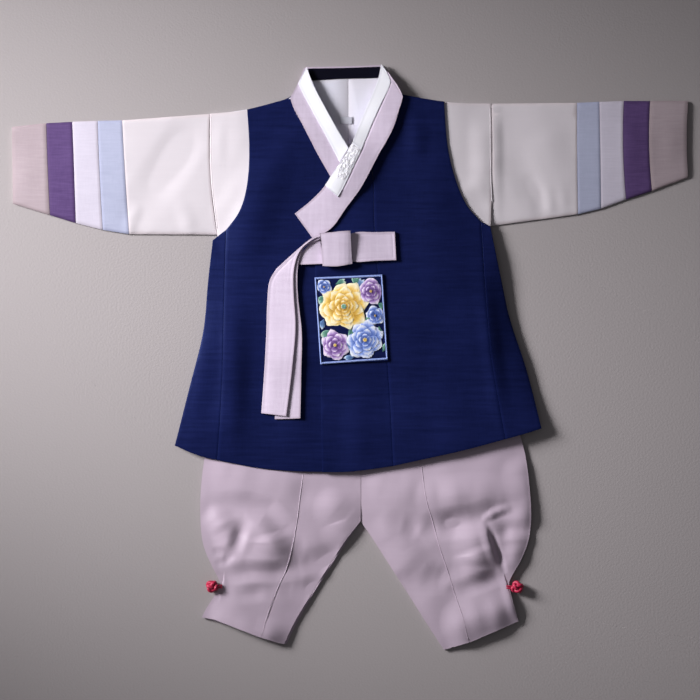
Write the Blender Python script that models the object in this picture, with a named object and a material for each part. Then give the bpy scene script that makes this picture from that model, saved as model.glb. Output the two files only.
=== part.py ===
"""A small child's first birthday hanbok, laid flat: vest, jacket with banded sleeves, trousers.

The set lies on z = 0 and is seen from above, +Y towards the collar, +X towards the
wearer's left. Outlines are written in millimetres from the middle of the set, and each
cloth piece is a wall that lies on the pieces before it.
"""

import math
from collections import namedtuple

import bmesh
import bpy
import numpy as np

MM = 0.001
SET_NAME = "hanbok"

# Walls, in millimetres.
SILK_WALL = 1.4
FACING_WALL = 1.0
COLLAR_WALL = 1.6
BACK_COLLAR_WALL = 3.2
STRIP_WALL = 1.0
TIE_WALL = 1.3
LABEL_WALL = 0.5
SEAM_GAP = 0.3
LAYER_GAP = 0.5
COLLAR_GAP = 0.8

# Air inside the coat and the legs, and how far in from an edge it takes to rise.
COAT_AIR = 2.2
COAT_RISE = 45.0
LEG_AIR = 2.6
LEG_RISE = 34.0
LEG_CLEAR = 30.0

# Spacing of the points of a wall, and how softly a wall comes down past one below it.
COARSE = 24.0
MEDIUM = 16.0
FINE = 11.0
SMALL = 6.0
FLAT = 42.0
COAT_EASE = 40.0
TROUSERS_EASE = 60.0
COLLAR_EASE = 22.0
TIE_EASE = 14.0
COVER_MARGIN = 6.0

NAVY = ((0.012, 0.020, 0.130), 0.55)
LILAC = ((0.680, 0.590, 0.720), 0.60)
WHITE = ((0.900, 0.900, 0.930), 0.55)
IVORY = ((0.800, 0.770, 0.790), 0.50)
PALE_BLUE = ((0.520, 0.580, 0.780), 0.60)
PALE_LILAC = ((0.740, 0.700, 0.830), 0.60)
PURPLE = ((0.130, 0.080, 0.290), 0.60)
TAUPE = ((0.540, 0.470, 0.510), 0.60)
MAUVE = ((0.620, 0.500, 0.600), 0.50)
RED = ((0.520, 0.020, 0.070), 0.55)
EDGE_BLUE = ((0.160, 0.260, 0.600), 0.50)

# Sleeve seams from the cuff to the body: (name of the band that starts here, colour,
# point on the fold, point halfway, point on the underarm seam).
RIGHT_SLEEVE = (
    ("cuff", TAUPE, (-365, 248.5), (-364.5, 207.5), (-364, 165.5)),
    ("purple", PURPLE, (-328, 252.5), (-326.5, 209.5), (-324, 153.2)),
    ("lilac", PALE_LILAC, (-300, 254), (-298, 207.5), (-296, 144.6)),
    ("blue", PALE_BLUE, (-272.5, 255), (-270.5, 204), (-267, 137.2)),
    ("upper", IVORY, (-246, 255.5), (-243, 202), (-238.5, 132.6)),
    ("end", None, (-151.5, 262.5), (-151, 196.5), (-143.5, 132)),
)
LEFT_SLEEVE = (
    ("cuff", TAUPE, (365, 276.5), (363.5, 234.5), (365, 193.5)),
    ("purple", PURPLE, (324, 276.5), (322.5, 229), (326, 179)),
    ("lilac", PALE_LILAC, (295.5, 276.5), (294.5, 223.5), (298, 169.8)),
    ("blue", PALE_BLUE, (269, 275.5), (270, 220), (271, 160)),
    ("upper", IVORY, (245, 274.5), (245, 216), (246, 154)),
    ("end", None, (152.5, 273.5), (153.5, 213), (152.5, 141.5)),
)
# Vest edges, from the shoulder down.
RIGHT_ARMHOLE = ((-111, 267), (-108.5, 225), (-110, 191), (-118.5, 157), (-134, 137))
LEFT_ARMHOLE = ((101.5, 275.5), (106, 222), (113.5, 192), (126, 163), (141.5, 146))
RIGHT_UNDERARM = (-148, 126)
LEFT_UNDERARM = (151.5, 140.5)
RIGHT_GORE_SEAM = ((-134, 137), (-136, 62), (-138, -25), (-141, -79), (-143.5, -111))
LEFT_GORE_SEAM = ((141.5, 146), (146, 72), (152.5, -3), (160, -47), (167.5, -88.5))
RIGHT_SIDE = (RIGHT_UNDERARM, (-153.5, 78), (-157.5, 31), (-172.5, -30), (-189, -95.5))
LEFT_SIDE = (LEFT_UNDERARM, (165, 74.5), (172, 42), (189, -8.5), (206.5, -77))
RIGHT_SHOULDER = ((-111, 267), (-86.5, 273.2), (-75.5, 276.4), (-58, 279.6))
LEFT_SHOULDER = ((49, 284), (57, 283), (75.5, 279.5), (101.5, 275.5))
RIGHT_NECK = ((-58, 279.6), (-40, 245), (-26, 216), (-12, 191), (0, 160))
HIDDEN_LAP = ((0, 160), (3, 60), (5, -25), (5, -79), (5, -123.5))
LEFT_NECK = ((49, 284), (38, 250), (20, 216))
FRONT_EDGE = ((-42, 138), (-39, 118), (-37, 83), (-33, 18), (-32, -10), (-31, -68), (-30, -124))
OVERLAP_SEAM = ((20, 216), (24, 200), (25.5, 153), (32.5, 62), (40, -5), (43, -46), (46.5, -117.5))
OVERLAP_TOP = ((-42, 138), (-22, 150), (-2, 175), (12, 200), (20, 216))

# Bottom edges from the wearer's right to left.
RIGHT_GORE_HEM = ((-189, -95.5), (-162, -107), (-143.5, -111))
RIGHT_FRONT_HEM = ((-143.5, -111), (-97, -120), (-54, -123.5), (5, -123.5))
OVERLAP_HEM = ((-30, -124), (-5.5, -124), (11, -122.5), (46.5, -117.5))
LEFT_FRONT_HEM = ((46.5, -117.5), (75.5, -111), (119, -101.5), (167.5, -88.5))
LEFT_GORE_HEM = ((167.5, -88.5), (194.5, -81), (206.5, -77))

# Back of the vest: neck and hem from the shoulder or side to the middle seam.
RIGHT_BACK_TOP = ((-111, 267), (-75.5, 276.4), (-56, 285), (-51, 294), (-42, 298.5), (-20, 299.8), (1, 300.3))
LEFT_BACK_TOP = ((101.5, 275.5), (57, 283), (49, 290), (44, 296), (32, 301), (16, 301.2), (1, 300.3))
RIGHT_BACK_HEM = ((-186, -91.5), (-130, -108), (-70, -117), (1, -118))
LEFT_BACK_HEM = ((203, -73), (130, -94), (60, -110), (1, -118))
BACK_LEVELS = (300.3, 262, 225, 180, 126, 75, 30, -30, -118)
BACK_MIDDLE = 1.0

# Jacket body under the vest. Its fronts meet edge to edge where the vest hides them.
JACKET_MIDDLE = -2.0
JACKET_BACK_LEVELS = (300.2, 215, 140, 95, 50, 13)
JACKET_FRONT_LEVELS = (172, 115, 60, 13)
RIGHT_JACKET_SIDE = ((-136, 80), (-133, 45), (-131, 13))
LEFT_JACKET_SIDE = ((142, 85), (138, 45), (135, 13))
RIGHT_JACKET_SHOULDER = ((-111, 266.5), (-84, 273), (-60, 277.6))
LEFT_JACKET_SHOULDER = ((101.5, 275), (76, 278.5), (52, 282))
RIGHT_JACKET_BACK_NECK = ((-51.5, 291.5), (-42, 298.3), (-20, 299.6))
LEFT_JACKET_BACK_NECK = ((44, 295.5), (32, 300.8), (16, 301))
RIGHT_JACKET_NECK = ((-60, 277.6), (-33, 225))
LEFT_JACKET_NECK = ((52, 282), (30, 225))

# Collar, white strip and ties: (inner edge, outer edge) pairs, from the neck down.
UNDER_COLLAR = (
    ((-47.5, 312), (-49.5, 311.5)),
    ((-43.3, 300.8), (-56, 295)),
    ((-38.8, 290.5), (-64.5, 279.5)),
    ((-27.4, 269), (-54, 256)),
    ((-14.8, 246), (-43, 234.5)),
    ((-2, 225), (-32.5, 214)),
    ((5, 212), (-20.5, 193.5)),
)
OVER_COLLAR = (
    ((34, 315.5), (38, 311)),
    ((32, 303), (48.5, 297)),
    ((22.9, 279.5), (57, 281)),
    ((13.8, 258), (53, 267)),
    ((3.1, 231), (46, 245)),
    ((-8.7, 210.5), (32.5, 221)),
    ((-20.5, 193.5), (21.5, 200)),
    ((-28, 183), (11, 180.5)),
    ((-40, 170.5), (-4, 161)),
    ((-50, 162), (-21.5, 137)),
    ((-59.5, 154.5), (-40, 127.5)),
)
UNDER_STRIP = (
    ((-46.5, 312.6), (-50, 308)),
    ((-42.8, 301.3), (-56, 294.5)),
    ((-38.3, 291), (-49.5, 281)),
    ((-26.9, 269.5), (-43, 269)),
    ((-14.3, 246.5), (-27, 240)),
    ((-1.5, 225.5), (-11, 209.5)),
)
OVER_STRIP = (
    ((33.5, 316), (39, 309.5)),
    ((31.5, 303), (44, 297)),
    ((22.4, 279.5), (35.5, 277.5)),
    ((13.3, 258), (27, 259)),
    ((2.6, 231.5), (13, 225)),
)
STRIP_END = (
    ((2.4, 231), (12.8, 224.5)),
    ((-9.2, 211.5), (1, 200)),
    ((-21, 194.5), (-6.5, 184)),
    ((-27.2, 184.6), (-13, 172.5)),
)
BACK_COLLAR = (
    ((-47.5, 313), (-53, 297)),
    ((-30, 313.4), (-35, 300.6)),
    ((-5.5, 313.8), (-5, 301.2)),
    ((20, 314.6), (22, 302.4)),
    ((33.5, 315.2), (43.5, 299)),
)
NECK_FACING = (
    ((-45, 311.3), (-43, 298.8)),
    ((-25, 311.6), (-22, 300)),
    ((-5.5, 311.9), (-2, 300.7)),
    ((14, 312.7), (16, 301.5)),
    ((32.5, 313.4), (31.2, 301.5)),
)
TIE_INNER = (
    ((-24, 129), (-24, 101)),
    ((-33, 129.5), (-33, 100)),
    ((-45, 121), (-46, 99.5)),
    ((-54, 110), (-55, 99.5)),
)
TAIL_UNDER = (
    ((-27, 131.5), (-27, 129)),
    ((-52, 119.2), (-49.5, 117.6)),
    ((-62, 109), (-54.5, 107.8)),
    ((-70, 96), (-56, 99)),
    ((-76, 64.8), (-56, 64.8)),
    ((-77, 30), (-52, 30)),
    ((-79, -18), (-52.5, -18)),
    ((-81, -67), (-53.5, -66)),
)
TAIL_UPPER = (
    ((-24, 134.2), (-24, 131)),
    ((-33.5, 132.6), (-34, 129.6)),
    ((-54, 118), (-46, 122.5)),
    ((-70, 103.6), (-52.5, 116.5)),
    ((-79, 95.4), (-57, 109)),
    ((-85.5, 86), (-60, 98)),
    ((-89, 61.6), (-60.6, 66)),
    ((-90, 30), (-58.5, 36)),
    ((-92, -10), (-61.5, -5)),
    ((-95.6, -60.5), (-68.6, -63.7)),
)
TIE_LOOP = (
    ((-5, 130.5), (-5, 105)),
    ((4.3, 134), (4.3, 102.5)),
    ((26, 134.5), (27, 103.5)),
    ((48.5, 135), (50, 104.2)),
)
TIE_KNOT = (
    ((-32.5, 133), (-29.5, 98)),
    ((-15, 135), (-13.5, 97.5)),
    ((0.5, 136), (2.5, 100.5)),
)
KNOT_CROWN = 1.6

PATCH_CORNERS = ((-38.2, 85.8), (35.2, 89), (41, -3), (-32, -8))
PATCH_BORDER = 2.6
BORDER_WALL = 0.8
LABEL = (((-10.5, 259), (-10.5, 251.5)), ((2.5, 259), (2.5, 251.5)))

# Trousers: (place, front seam, edge of the folded front, outer edge), each (x, y, height).
RIGHT_LEG = (
    ("waist", (-40, 60, 0), (-88, 60, 0), (-108, 60, 0)),
    ("hip", (-43, -25, 0), (-112, -25, 0), (-138, -25, 0)),
    ("vest hem", (-49, -118, 0), (-124, -112, 0), (-157, -108, 0)),
    ("above fold", (-54, -152, 0.4), (-122, -152, 1.2), (-161.5, -150, 0)),
    ("fold starts", (-57, -176, 0.4), (-113, -172, 2.4), (-161.5, -176, 0)),
    ("full", (-62, -204, 0.2), (-124, -198, 2.6), (-158.5, -203, 0)),
    ("narrowing", (-69, -230, 0), (-134, -227, 2.2), (-147, -230, 0)),
    ("button", (-77, -247, 0), (-137, -246, 1.2), (-139.5, -246, 0)),
    ("below button", (-82, -258, 0), (-139.5, -258, 0.8), (-147, -259, 0)),
    ("ankle", (-90, -282, 0), (-143, -273, 0.6), (-155, -271, 0)),
    ("hem", (-96, -302.5, 0), (-147, -283, 0.4), (-160, -281, 0)),
)
LEFT_LEG = (
    ("waist", (64, 60, 0), (112, 60, 0), (132, 60, 0)),
    ("hip", (69, -25, 0), (138, -25, 0), (162, -25, 0)),
    ("vest hem", (76, -114, 0), (150, -100, 0), (187, -95, 0)),
    ("above fold", (82, -152, 0.4), (153, -148, 1.2), (194.5, -150, 0)),
    ("fold starts", (89, -177, 0.4), (147, -174, 3.0), (195.5, -172, 0)),
    ("full", (97, -206, 0.2), (154, -201, 3.0), (192, -201, 0)),
    ("narrowing", (105.5, -231, 0), (162.5, -225, 2.4), (182, -224, 0)),
    ("button", (111.5, -251, 0), (169, -244.5, 1.4), (171.5, -243, 0)),
    ("below button", (116, -265, 0), (173, -260, 0.8), (174.5, -260, 0)),
    ("ankle", (121, -279, 0), (176.5, -272, 0.6), (178, -272, 0)),
    ("hem", (128.5, -308, 0), (180.5, -285.5, 0.4), (182, -286, 0)),
)
# Inner leg edges, with a point for each row above. The crotch is the fifth.
RIGHT_INNER = (
    (11.6, 60), (11.6, -25), (11.6, -124), (11.6, -152), (11.4, -177), (-3, -199),
    (-17, -221), (-31, -243), (-42, -261), (-56, -284), (-68.5, -310),
)
LEFT_INNER = (
    (12, 60), (12, -25), (12, -124), (12, -152), (11.8, -177), (25, -197),
    (41, -222), (59, -250), (68, -264), (83, -288), (101.5, -316),
)
CROTCH_ROW = 4
HIDDEN_ROWS = 2
BACK_SHOWS = 2.8
FRONT_FOLD_STEP = 0.9
BACK_OUTER_INSET = 1.5
WAIST_TOP = 83.0

# Soft folds: (place, start, end, half width, height), added to the wall's height.
VEST_FOLDS = (
    ("beside right gore", (-128, 60), (-132, -100), 16, 1.3),
    ("right hem wave", (-78, 0), (-88, -118), 18, 0.9),
    ("chest right", (-80, 200), (-70, 110), 22, 0.8),
    ("left hem wave", (105, 20), (118, -98), 20, 1.0),
    ("beside left gore", (150, 60), (176, -84), 14, 1.1),
    ("chest left", (88, 220), (96, 120), 20, 0.7),
)
LEG_FOLDS = (
    ("right arc", (-150, -150), (-104, -172), 9, 1.4),
    ("right hip", (-100, -140), (-60, -176), 16, 0.9),
    ("right calf", (-128, -236), (-66, -226), 8, 1.2),
    ("right ankle crease", (-132, -254), (-84, -262), 7, 0.9),
    ("right hem", (-118, -262), (-112, -296), 8, 0.8),
    ("right thigh", (-38, -150), (4, -150), 14, 0.9),
    ("right knee", (-54, -206), (-12, -190), 10, 1.3),
    ("right shin", (-66, -246), (-34, -236), 8, 1.1),
    ("left ridge", (136, -172), (168, -164), 5, 1.6),
    ("left thigh", (88, -150), (160, -142), 14, 1.0),
    ("left knee", (96, -196), (140, -196), 12, 1.5),
    ("left ankle crease", (112, -262), (160, -246), 8, 1.3),
    ("left hem", (120, -286), (170, -268), 10, 0.9),
    ("left inner thigh", (24, -150), (70, -156), 14, 0.9),
    ("left inner knee", (50, -210), (88, -204), 12, 1.0),
    ("left shin", (78, -256), (108, -262), 9, 0.8),
)
FOLD_REACH = 1.6
FOLD_END_SHARE = 0.25

# Knotted buttons: (side, middle x, middle y, width, depth, route of the loop that holds it).
KNOTS = (
    ("right", -148.6, -247.3, 13.6, 14.0, ((-129, -247.6, 6.4), (-134, -247.6, 6.0), (-141, -247.4, 5.4))),
    ("left", 180.4, -248.4, 14.0, 14.4, ((162, -248.2, 6.6), (167, -248.2, 6.1), (173.4, -248.4, 5.4))),
)
KNOT_HEIGHT = 11.0
KNOT_LOBES = 5
LOBE_DEPTH = 0.07
LOOP_CORD = 1.0

Rail = namedtuple("Rail", "points corners")


def rail(*parts):
    """One line down a piece. It has a corner where one part meets the next."""
    points = list(parts[0])
    corners = []
    for part in parts[1:]:
        corners.append(len(points) - 1)
        points = points[:-1] + list(part)
    return Rail(points, tuple(corners))


def shifted(points, across):
    """The same points moved sideways, for a seam gap or a turned edge."""
    return tuple((point[0] + across, *point[1:]) for point in points)


def ease(amount):
    """Smooth step from 0 to 1."""
    amount = np.clip(amount, 0.0, 1.0)
    return amount * amount * (3.0 - 2.0 * amount)


def sample_rail(line, counts):
    """Points on the smooth line through a rail, counts[i] steps in span i."""
    points = np.array(line.points, float)
    steps = np.diff(points, axis=0)
    chords = np.maximum(np.linalg.norm(steps, axis=1), 1e-6)
    slopes = steps / chords[:, None]
    leaving, arriving = [], []
    for index in range(len(points)):
        before = slopes[max(index - 1, 0)]
        after = slopes[min(index, len(slopes) - 1)]
        if index not in line.corners and 0 < index < len(points) - 1:
            near, far = chords[index - 1], chords[index]
            before = after = (before * far + after * near) / (near + far)
        leaving.append(after)
        arriving.append(before)
    rows = []
    for span, count in enumerate(counts):
        first = leaving[span] * chords[span]
        last = arriving[span + 1] * chords[span]
        for step in range(count):
            t = step / count
            rows.append(
                (2 * t**3 - 3 * t**2 + 1) * points[span]
                + (t**3 - 2 * t**2 + t) * first
                + (3 * t**2 - 2 * t**3) * points[span + 1]
                + (t**3 - t**2) * last
            )
    rows.append(points[-1])
    return np.array(rows)


def along(points):
    """Share of the whole length at each point."""
    run = np.concatenate([[0.0], np.cumsum(np.linalg.norm(np.diff(points, axis=0), axis=1))])
    return run / run[-1]


def curve_at(points, shares):
    """The smooth line through the points, read at shares of its length."""
    dense = sample_rail(Rail(points, ()), [8] * (len(points) - 1))
    run = along(dense)
    return np.stack([np.interp(shares, run, dense[:, axis]) for axis in range(2)], axis=1)


def lofted_grid(rails, spacing, top=None, bottom=None, columns=None, hidden_rows=0):
    """Rows of points across the rails. top and bottom bend the first and last row."""
    plans = [np.array([point[:2] for point in line.points], float) for line in rails]
    lengths = np.max([np.linalg.norm(np.diff(plan, axis=0), axis=1) for plan in plans], axis=0)
    counts = [
        max(1, round(length / (FLAT if span < hidden_rows else spacing)))
        for span, length in enumerate(lengths)
    ]
    lines = [sample_rail(line, counts) for line in rails]
    pairs = list(zip(lines, lines[1:]))
    if columns is None:
        widths = [np.linalg.norm(far[:, :2] - near[:, :2], axis=1).max() for near, far in pairs]
        columns = [max(1, round(width / spacing)) for width in widths]
    across = []
    for (near, far), count in zip(pairs, columns):
        across += [near + (far - near) * step / count for step in range(count)]
    across.append(lines[-1])
    grid = np.stack(across, axis=1)
    if grid.shape[2] == 2:
        grid = np.dstack([grid, np.zeros(grid.shape[:2])])
    down = along(grid[:, grid.shape[1] // 2, :2])[:, None, None]
    for edge, row, weight in ((top, 0, 1.0 - down), (bottom, -1, down)):
        if edge is not None:
            placed = curve_at(edge, along(grid[row, :, :2]))
            grid[:, :, :2] += weight * (placed - grid[row, :, :2])[None]
    return grid


def strip_grid(pairs, spacing, columns=None):
    """A grid for a strip given as pairs of points along it."""
    edges = [Rail([pair[side] for pair in pairs], ()) for side in (0, 1)]
    return lofted_grid(edges, spacing, columns=columns)


def outline_of(grid):
    """The closed outline of a grid's plan."""
    plan = grid[:, :, :2]
    return np.concatenate([plan[0], plan[1:, -1], plan[-1, -2::-1], plan[-2:0:-1, 0]])


def distance_inside(points, outline):
    """Distance to the outline, positive inside it."""
    runs = np.roll(outline, -1, axis=0) - outline
    offsets = points[:, None] - outline[None]
    share = (offsets * runs[None]).sum(2) / np.maximum((runs * runs).sum(1), 1e-9)[None]
    nearest = offsets - np.clip(share, 0, 1)[:, :, None] * runs[None]
    distance = np.sqrt((nearest**2).sum(2)).min(1)
    low = outline[None, :, 1] > points[:, None, 1]
    high = (outline + runs)[None, :, 1] > points[:, None, 1]
    rise = np.where(runs[:, 1] == 0, 1e-9, runs[:, 1])
    crossing = outline[None, :, 0] + offsets[:, :, 1] * (runs[:, 0] / rise)[None]
    inside = ((low != high) & (points[:, None, 0] < crossing)).sum(1) % 2 == 1
    return np.where(inside, distance, -distance)


def fold_heights(plan, folds):
    """Soft ridges along straight lines, lower at their ends."""
    total = np.zeros(len(plan))
    for _, start, end, half_width, height in folds:
        run = np.subtract(end, start).astype(float)
        share = ((plan - start) @ run) / (run @ run)
        nearest = plan - (start + np.clip(share, 0, 1)[:, None] * run)
        reach = np.sqrt((nearest**2).sum(1)) / (FOLD_REACH * half_width)
        fade = np.maximum(ease(1.65 - 1.3 * np.abs(2 * share - 1)), FOLD_END_SHARE)
        total += height * ease(1.0 - reach) * fade
    return total


def cloth_material(name, finish):
    colour, roughness = finish
    new = bpy.data.materials.new(name)
    new.use_nodes = True
    shader = new.node_tree.nodes["Principled BSDF"]
    shader.inputs["Base Color"].default_value = (*colour, 1.0)
    shader.inputs["Roughness"].default_value = roughness
    shader.inputs["Metallic"].default_value = 0.0
    return new


def finish_object(name, data, finish, collection):
    """Makes the object, its faces outwards, smooth but for its edges."""
    bmesh.ops.recalc_face_normals(data, faces=data.faces)
    mesh = bpy.data.meshes.new(name)
    data.to_mesh(mesh)
    data.free()
    mesh.materials.append(cloth_material(name, finish))
    mesh.shade_smooth()
    mesh.set_sharp_from_angle(angle=math.radians(50))
    collection.objects.link(bpy.data.objects.new(name, mesh))


def cloth_wall(name, grid, wall, finish, collection):
    """A wall of cloth: the grid is its underside, and its top is that raised."""
    rows, columns = grid.shape[:2]
    data = bmesh.new()
    bmesh.ops.create_grid(data, x_segments=columns - 1, y_segments=rows - 1, size=0.5)
    for vertex in data.verts:
        column = round((vertex.co.x + 0.5) * (columns - 1))
        row = round((0.5 - vertex.co.y) * (rows - 1))
        vertex.co = grid[row, column] * MM
    raised = bmesh.ops.extrude_face_region(data, geom=data.faces[:])
    top = [element for element in raised["geom"] if isinstance(element, bmesh.types.BMVert)]
    bmesh.ops.translate(data, verts=top, vec=(0.0, 0.0, wall * MM))
    finish_object(name, data, finish, collection)


def ring_wall(name, outer, inner, finish, collection):
    """A wall round a hollow, lofted through unlike sections from end to end."""
    data = bmesh.new()
    loops = [
        [[data.verts.new(point * MM) for point in ring] for ring in sections]
        for sections in (outer, inner)
    ]
    count = len(outer[0])
    neighbours = [(index, (index + 1) % count) for index in range(count)]
    for rings in loops:
        for near, far in zip(rings, rings[1:]):
            for here, after in neighbours:
                data.faces.new((near[here], near[after], far[after], far[here]))
    for end in (0, -1):
        out_ring, in_ring = loops[0][end], loops[1][end]
        for here, after in neighbours:
            data.faces.new((out_ring[here], out_ring[after], in_ring[after], in_ring[here]))
    finish_object(name, data, finish, collection)


class Garment:
    """Lays the pieces one on another, in the order of the calls."""

    def __init__(self, collection, coat):
        self.collection = collection
        self.coat = coat
        self.layers = []

    def height(self, plan, air=False):
        """Height of the top of all that is laid so far, as soft cloth lies over it."""
        total = np.zeros(len(plan))
        for outlines, height, fall in self.layers:
            inside = np.max([distance_inside(plan, outline) for outline in outlines], axis=0)
            total += height * ease(1.0 + (inside + COVER_MARGIN) / fall)
        if air:
            total += COAT_AIR * ease(distance_inside(plan, self.coat) / COAT_RISE)
            total += fold_heights(plan, VEST_FOLDS)
        return total

    def cover(self, grids, height, fall):
        self.layers.append(([outline_of(grid) for grid in grids], height, fall))

    def wall(self, name, grid, wall, finish, lift=0.0):
        placed = grid.copy()
        placed[:, :, 2] += lift
        cloth_wall(name, placed, wall, finish, self.collection)

    def lay(self, pieces, wall, air=False, fall=COAT_EASE, gap=LAYER_GAP):
        """Pieces of one layer: (name, grid, finish). They don't lie on each other."""
        for name, grid, finish in pieces:
            lift = self.height(grid[:, :, :2].reshape(-1, 2), air)
            self.wall(name, grid, wall, finish, lift.reshape(grid.shape[:2]))
        self.cover([grid for _, grid, _ in pieces], wall + gap, fall)


def leg_grids(leg, inner, side):
    """A leg's outer front, inner front and back, flat."""
    seam, flap, outer = ([row[column] for row in leg] for column in (1, 2, 3))
    tucked = [(x + side * FRONT_FOLD_STEP, y, low[2]) for (x, y, _), low in zip(flap, outer)]
    rails = [Rail(points, ()) for points in (shifted(seam, side * SEAM_GAP), flap, tucked, outer)]
    front_outer = lofted_grid(rails, FINE, columns=[5, 1, 2], hidden_rows=HIDDEN_ROWS)
    shown = BACK_SHOWS if side < 0 else 0.0
    edge = [(x - (shown if row > CROTCH_ROW else 0), y, 0.0) for row, (x, y) in enumerate(inner)]
    front_inner = lofted_grid(
        (Rail(seam, ()), Rail(edge, (CROTCH_ROW,))), FINE, hidden_rows=HIDDEN_ROWS
    )
    back_outer = [(x - side * BACK_OUTER_INSET, y) for x, y, _ in outer]
    back = lofted_grid((Rail(back_outer, ()), Rail(inner, (CROTCH_ROW,))), FLAT)
    return front_outer, front_inner, back


def lay_trousers(garment):
    """Legs with one back and two fronts each, and the waistband, flat under the coat."""
    backs, fronts = [], []
    legs = ((-1, "right", RIGHT_LEG, RIGHT_INNER), (1, "left", LEFT_LEG, LEFT_INNER))
    for side, name, table, inner in legs:
        front_outer, front_inner, back = leg_grids(table, inner, side)
        backs.append((f"trousers_back_{name}", back))
        for part, grid in (("outer", front_outer), ("inner", front_inner)):
            plan = grid[:, :, :2].reshape(-1, 2)
            air = LEG_AIR * ease(distance_inside(plan, outline_of(back)) / LEG_RISE)
            clear = ease(-distance_inside(plan, garment.coat) / LEG_CLEAR)
            lift = clear * (air + fold_heights(plan, LEG_FOLDS))
            grid[:, :, 2] = grid[:, :, 2] * clear.reshape(grid.shape[:2])
            grid[:, :, 2] += lift.reshape(grid.shape[:2])
            fronts.append((f"trousers_front_{part}_{name}", grid))
    band_ends = [((x, WAIST_TOP), (x, RIGHT_LEG[0][1][1] + SEAM_GAP)) for x in (-108, 132)]
    band = strip_grid(band_ends, FLAT)
    backs.append(("waistband_back", band))
    fronts.append(("waistband_front", band))
    for name, grid in backs:
        garment.wall(name, grid, SILK_WALL, MAUVE)
    for name, grid in fronts:
        garment.wall(name, grid, SILK_WALL, MAUVE, SILK_WALL + LAYER_GAP)
    garment.cover([grid for _, grid in backs], 2 * (SILK_WALL + LAYER_GAP), TROUSERS_EASE)


def sleeve_section(fold, middle, under, coat):
    """The outer and inner loop of a flattened sleeve, from the fold to the seam under the arm."""
    shares = np.array([0.0, 0.016, 0.09, 0.25, 0.42, 0.58, 0.75, 0.91, 0.984, 1.0])
    last = len(shares) - 1
    bow = middle - (fold + under) / 2
    plan = fold + shares[:, None] * (under - fold) + (4 * shares * (1 - shares))[:, None] * bow
    air = COAT_AIR * ease(distance_inside(plan, coat) / COAT_RISE)
    height = 2 * SILK_WALL + LAYER_GAP + air
    height[[1, last - 1]] -= 0.25
    height[[0, last]] /= 2
    centre = (fold + under) / 2
    inner_plan = centre + (plan - centre) * (1.0 - 2 * SILK_WALL / np.linalg.norm(under - fold))
    inner_height = height - SILK_WALL
    inner_height[[0, last]] = height[[0, last]]
    underside = [last - 1, last // 2 + 1, last // 2, 1]
    outer = [(*plan[index], height[index]) for index in range(last + 1)]
    outer += [(*plan[index], 0.0) for index in underside]
    inner = [(*inner_plan[index], inner_height[index]) for index in range(last + 1)]
    inner += [(*inner_plan[index], SILK_WALL) for index in underside]
    return np.array(outer), np.array(inner)


def sew_sleeves(garment):
    """Each band of a sleeve is one ring, folded along the top and seamed under the arm."""
    for side, table in (("right", RIGHT_SLEEVE), ("left", LEFT_SLEEVE)):
        for start, end in zip(table, table[1:]):
            near, far = (np.array(row[2:], float) for row in (start, end))
            trim = np.sign(far[0, 0] - near[0, 0]) * SEAM_GAP / 2
            near[:, 0] += trim
            far[:, 0] -= trim
            steps = 4 if start[0] == "upper" else 1
            sections = [
                sleeve_section(*(near + (far - near) * step / steps), garment.coat)
                for step in range(steps + 1)
            ]
            outer, inner = zip(*sections)
            ring_wall(f"sleeve_{side}_{start[0]}", outer, inner, start[1], garment.collection)


def coat_outline():
    """The outline of vest and sleeves together, clockwise from the right cuff."""
    points = [row[2] for row in RIGHT_SLEEVE]
    points += RIGHT_SHOULDER[1:] + ((-49.5, 311.5), (-5, 314), (38, 313)) + LEFT_SHOULDER[1:]
    points += [row[2] for row in reversed(LEFT_SLEEVE)]
    points += [row[4] for row in LEFT_SLEEVE]
    points += LEFT_SIDE
    points += reversed(RIGHT_GORE_HEM + RIGHT_FRONT_HEM[1:3] + OVERLAP_HEM + LEFT_FRONT_HEM[1:])
    points += reversed(RIGHT_SIDE)
    points += [row[4] for row in reversed(RIGHT_SLEEVE)]
    return np.array(points, float)


def vest_back():
    """Two halves, sewn down the middle, a little shorter than the front."""
    halves = []
    for name, side, armhole, seam_side, top, hem in (
        ("right", -1, RIGHT_ARMHOLE, RIGHT_SIDE, RIGHT_BACK_TOP, RIGHT_BACK_HEM),
        ("left", 1, LEFT_ARMHOLE, LEFT_SIDE, LEFT_BACK_TOP, LEFT_BACK_HEM),
    ):
        shift = side * SEAM_GAP / 2
        outer = rail(armhole[:4] + seam_side[:1], seam_side[:-1] + hem[:1])
        middle = Rail([(BACK_MIDDLE + shift, y) for y in BACK_LEVELS], ())
        ends = [edge[:-1] + shifted(edge[-1:], shift) for edge in (top, hem)]
        halves.append((f"vest_back_{name}", lofted_grid((outer, middle), COARSE, *ends), NAVY))
    return halves


def jacket_half(side, levels, neck):
    """Half of the jacket's body, from the sleeve seam to the middle."""
    if side < 0:
        sleeve, seam, shoulder = RIGHT_SLEEVE, RIGHT_JACKET_SIDE, RIGHT_JACKET_SHOULDER
    else:
        sleeve, seam, shoulder = LEFT_SLEEVE, LEFT_JACKET_SIDE, LEFT_JACKET_SHOULDER
    armhole = shifted(sleeve[-1][2:], -side * SEAM_GAP)
    outer = rail(armhole, armhole[-1:] + seam)
    middle = neck + tuple((JACKET_MIDDLE + side * SEAM_GAP / 2, y) for y in levels)
    top = (armhole[0], *shoulder)
    if not neck:
        top += (RIGHT_JACKET_BACK_NECK if side < 0 else LEFT_JACKET_BACK_NECK) + middle[:1]
    return lofted_grid((outer, Rail(middle, (len(neck),))), MEDIUM if neck else COARSE, top)


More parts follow.
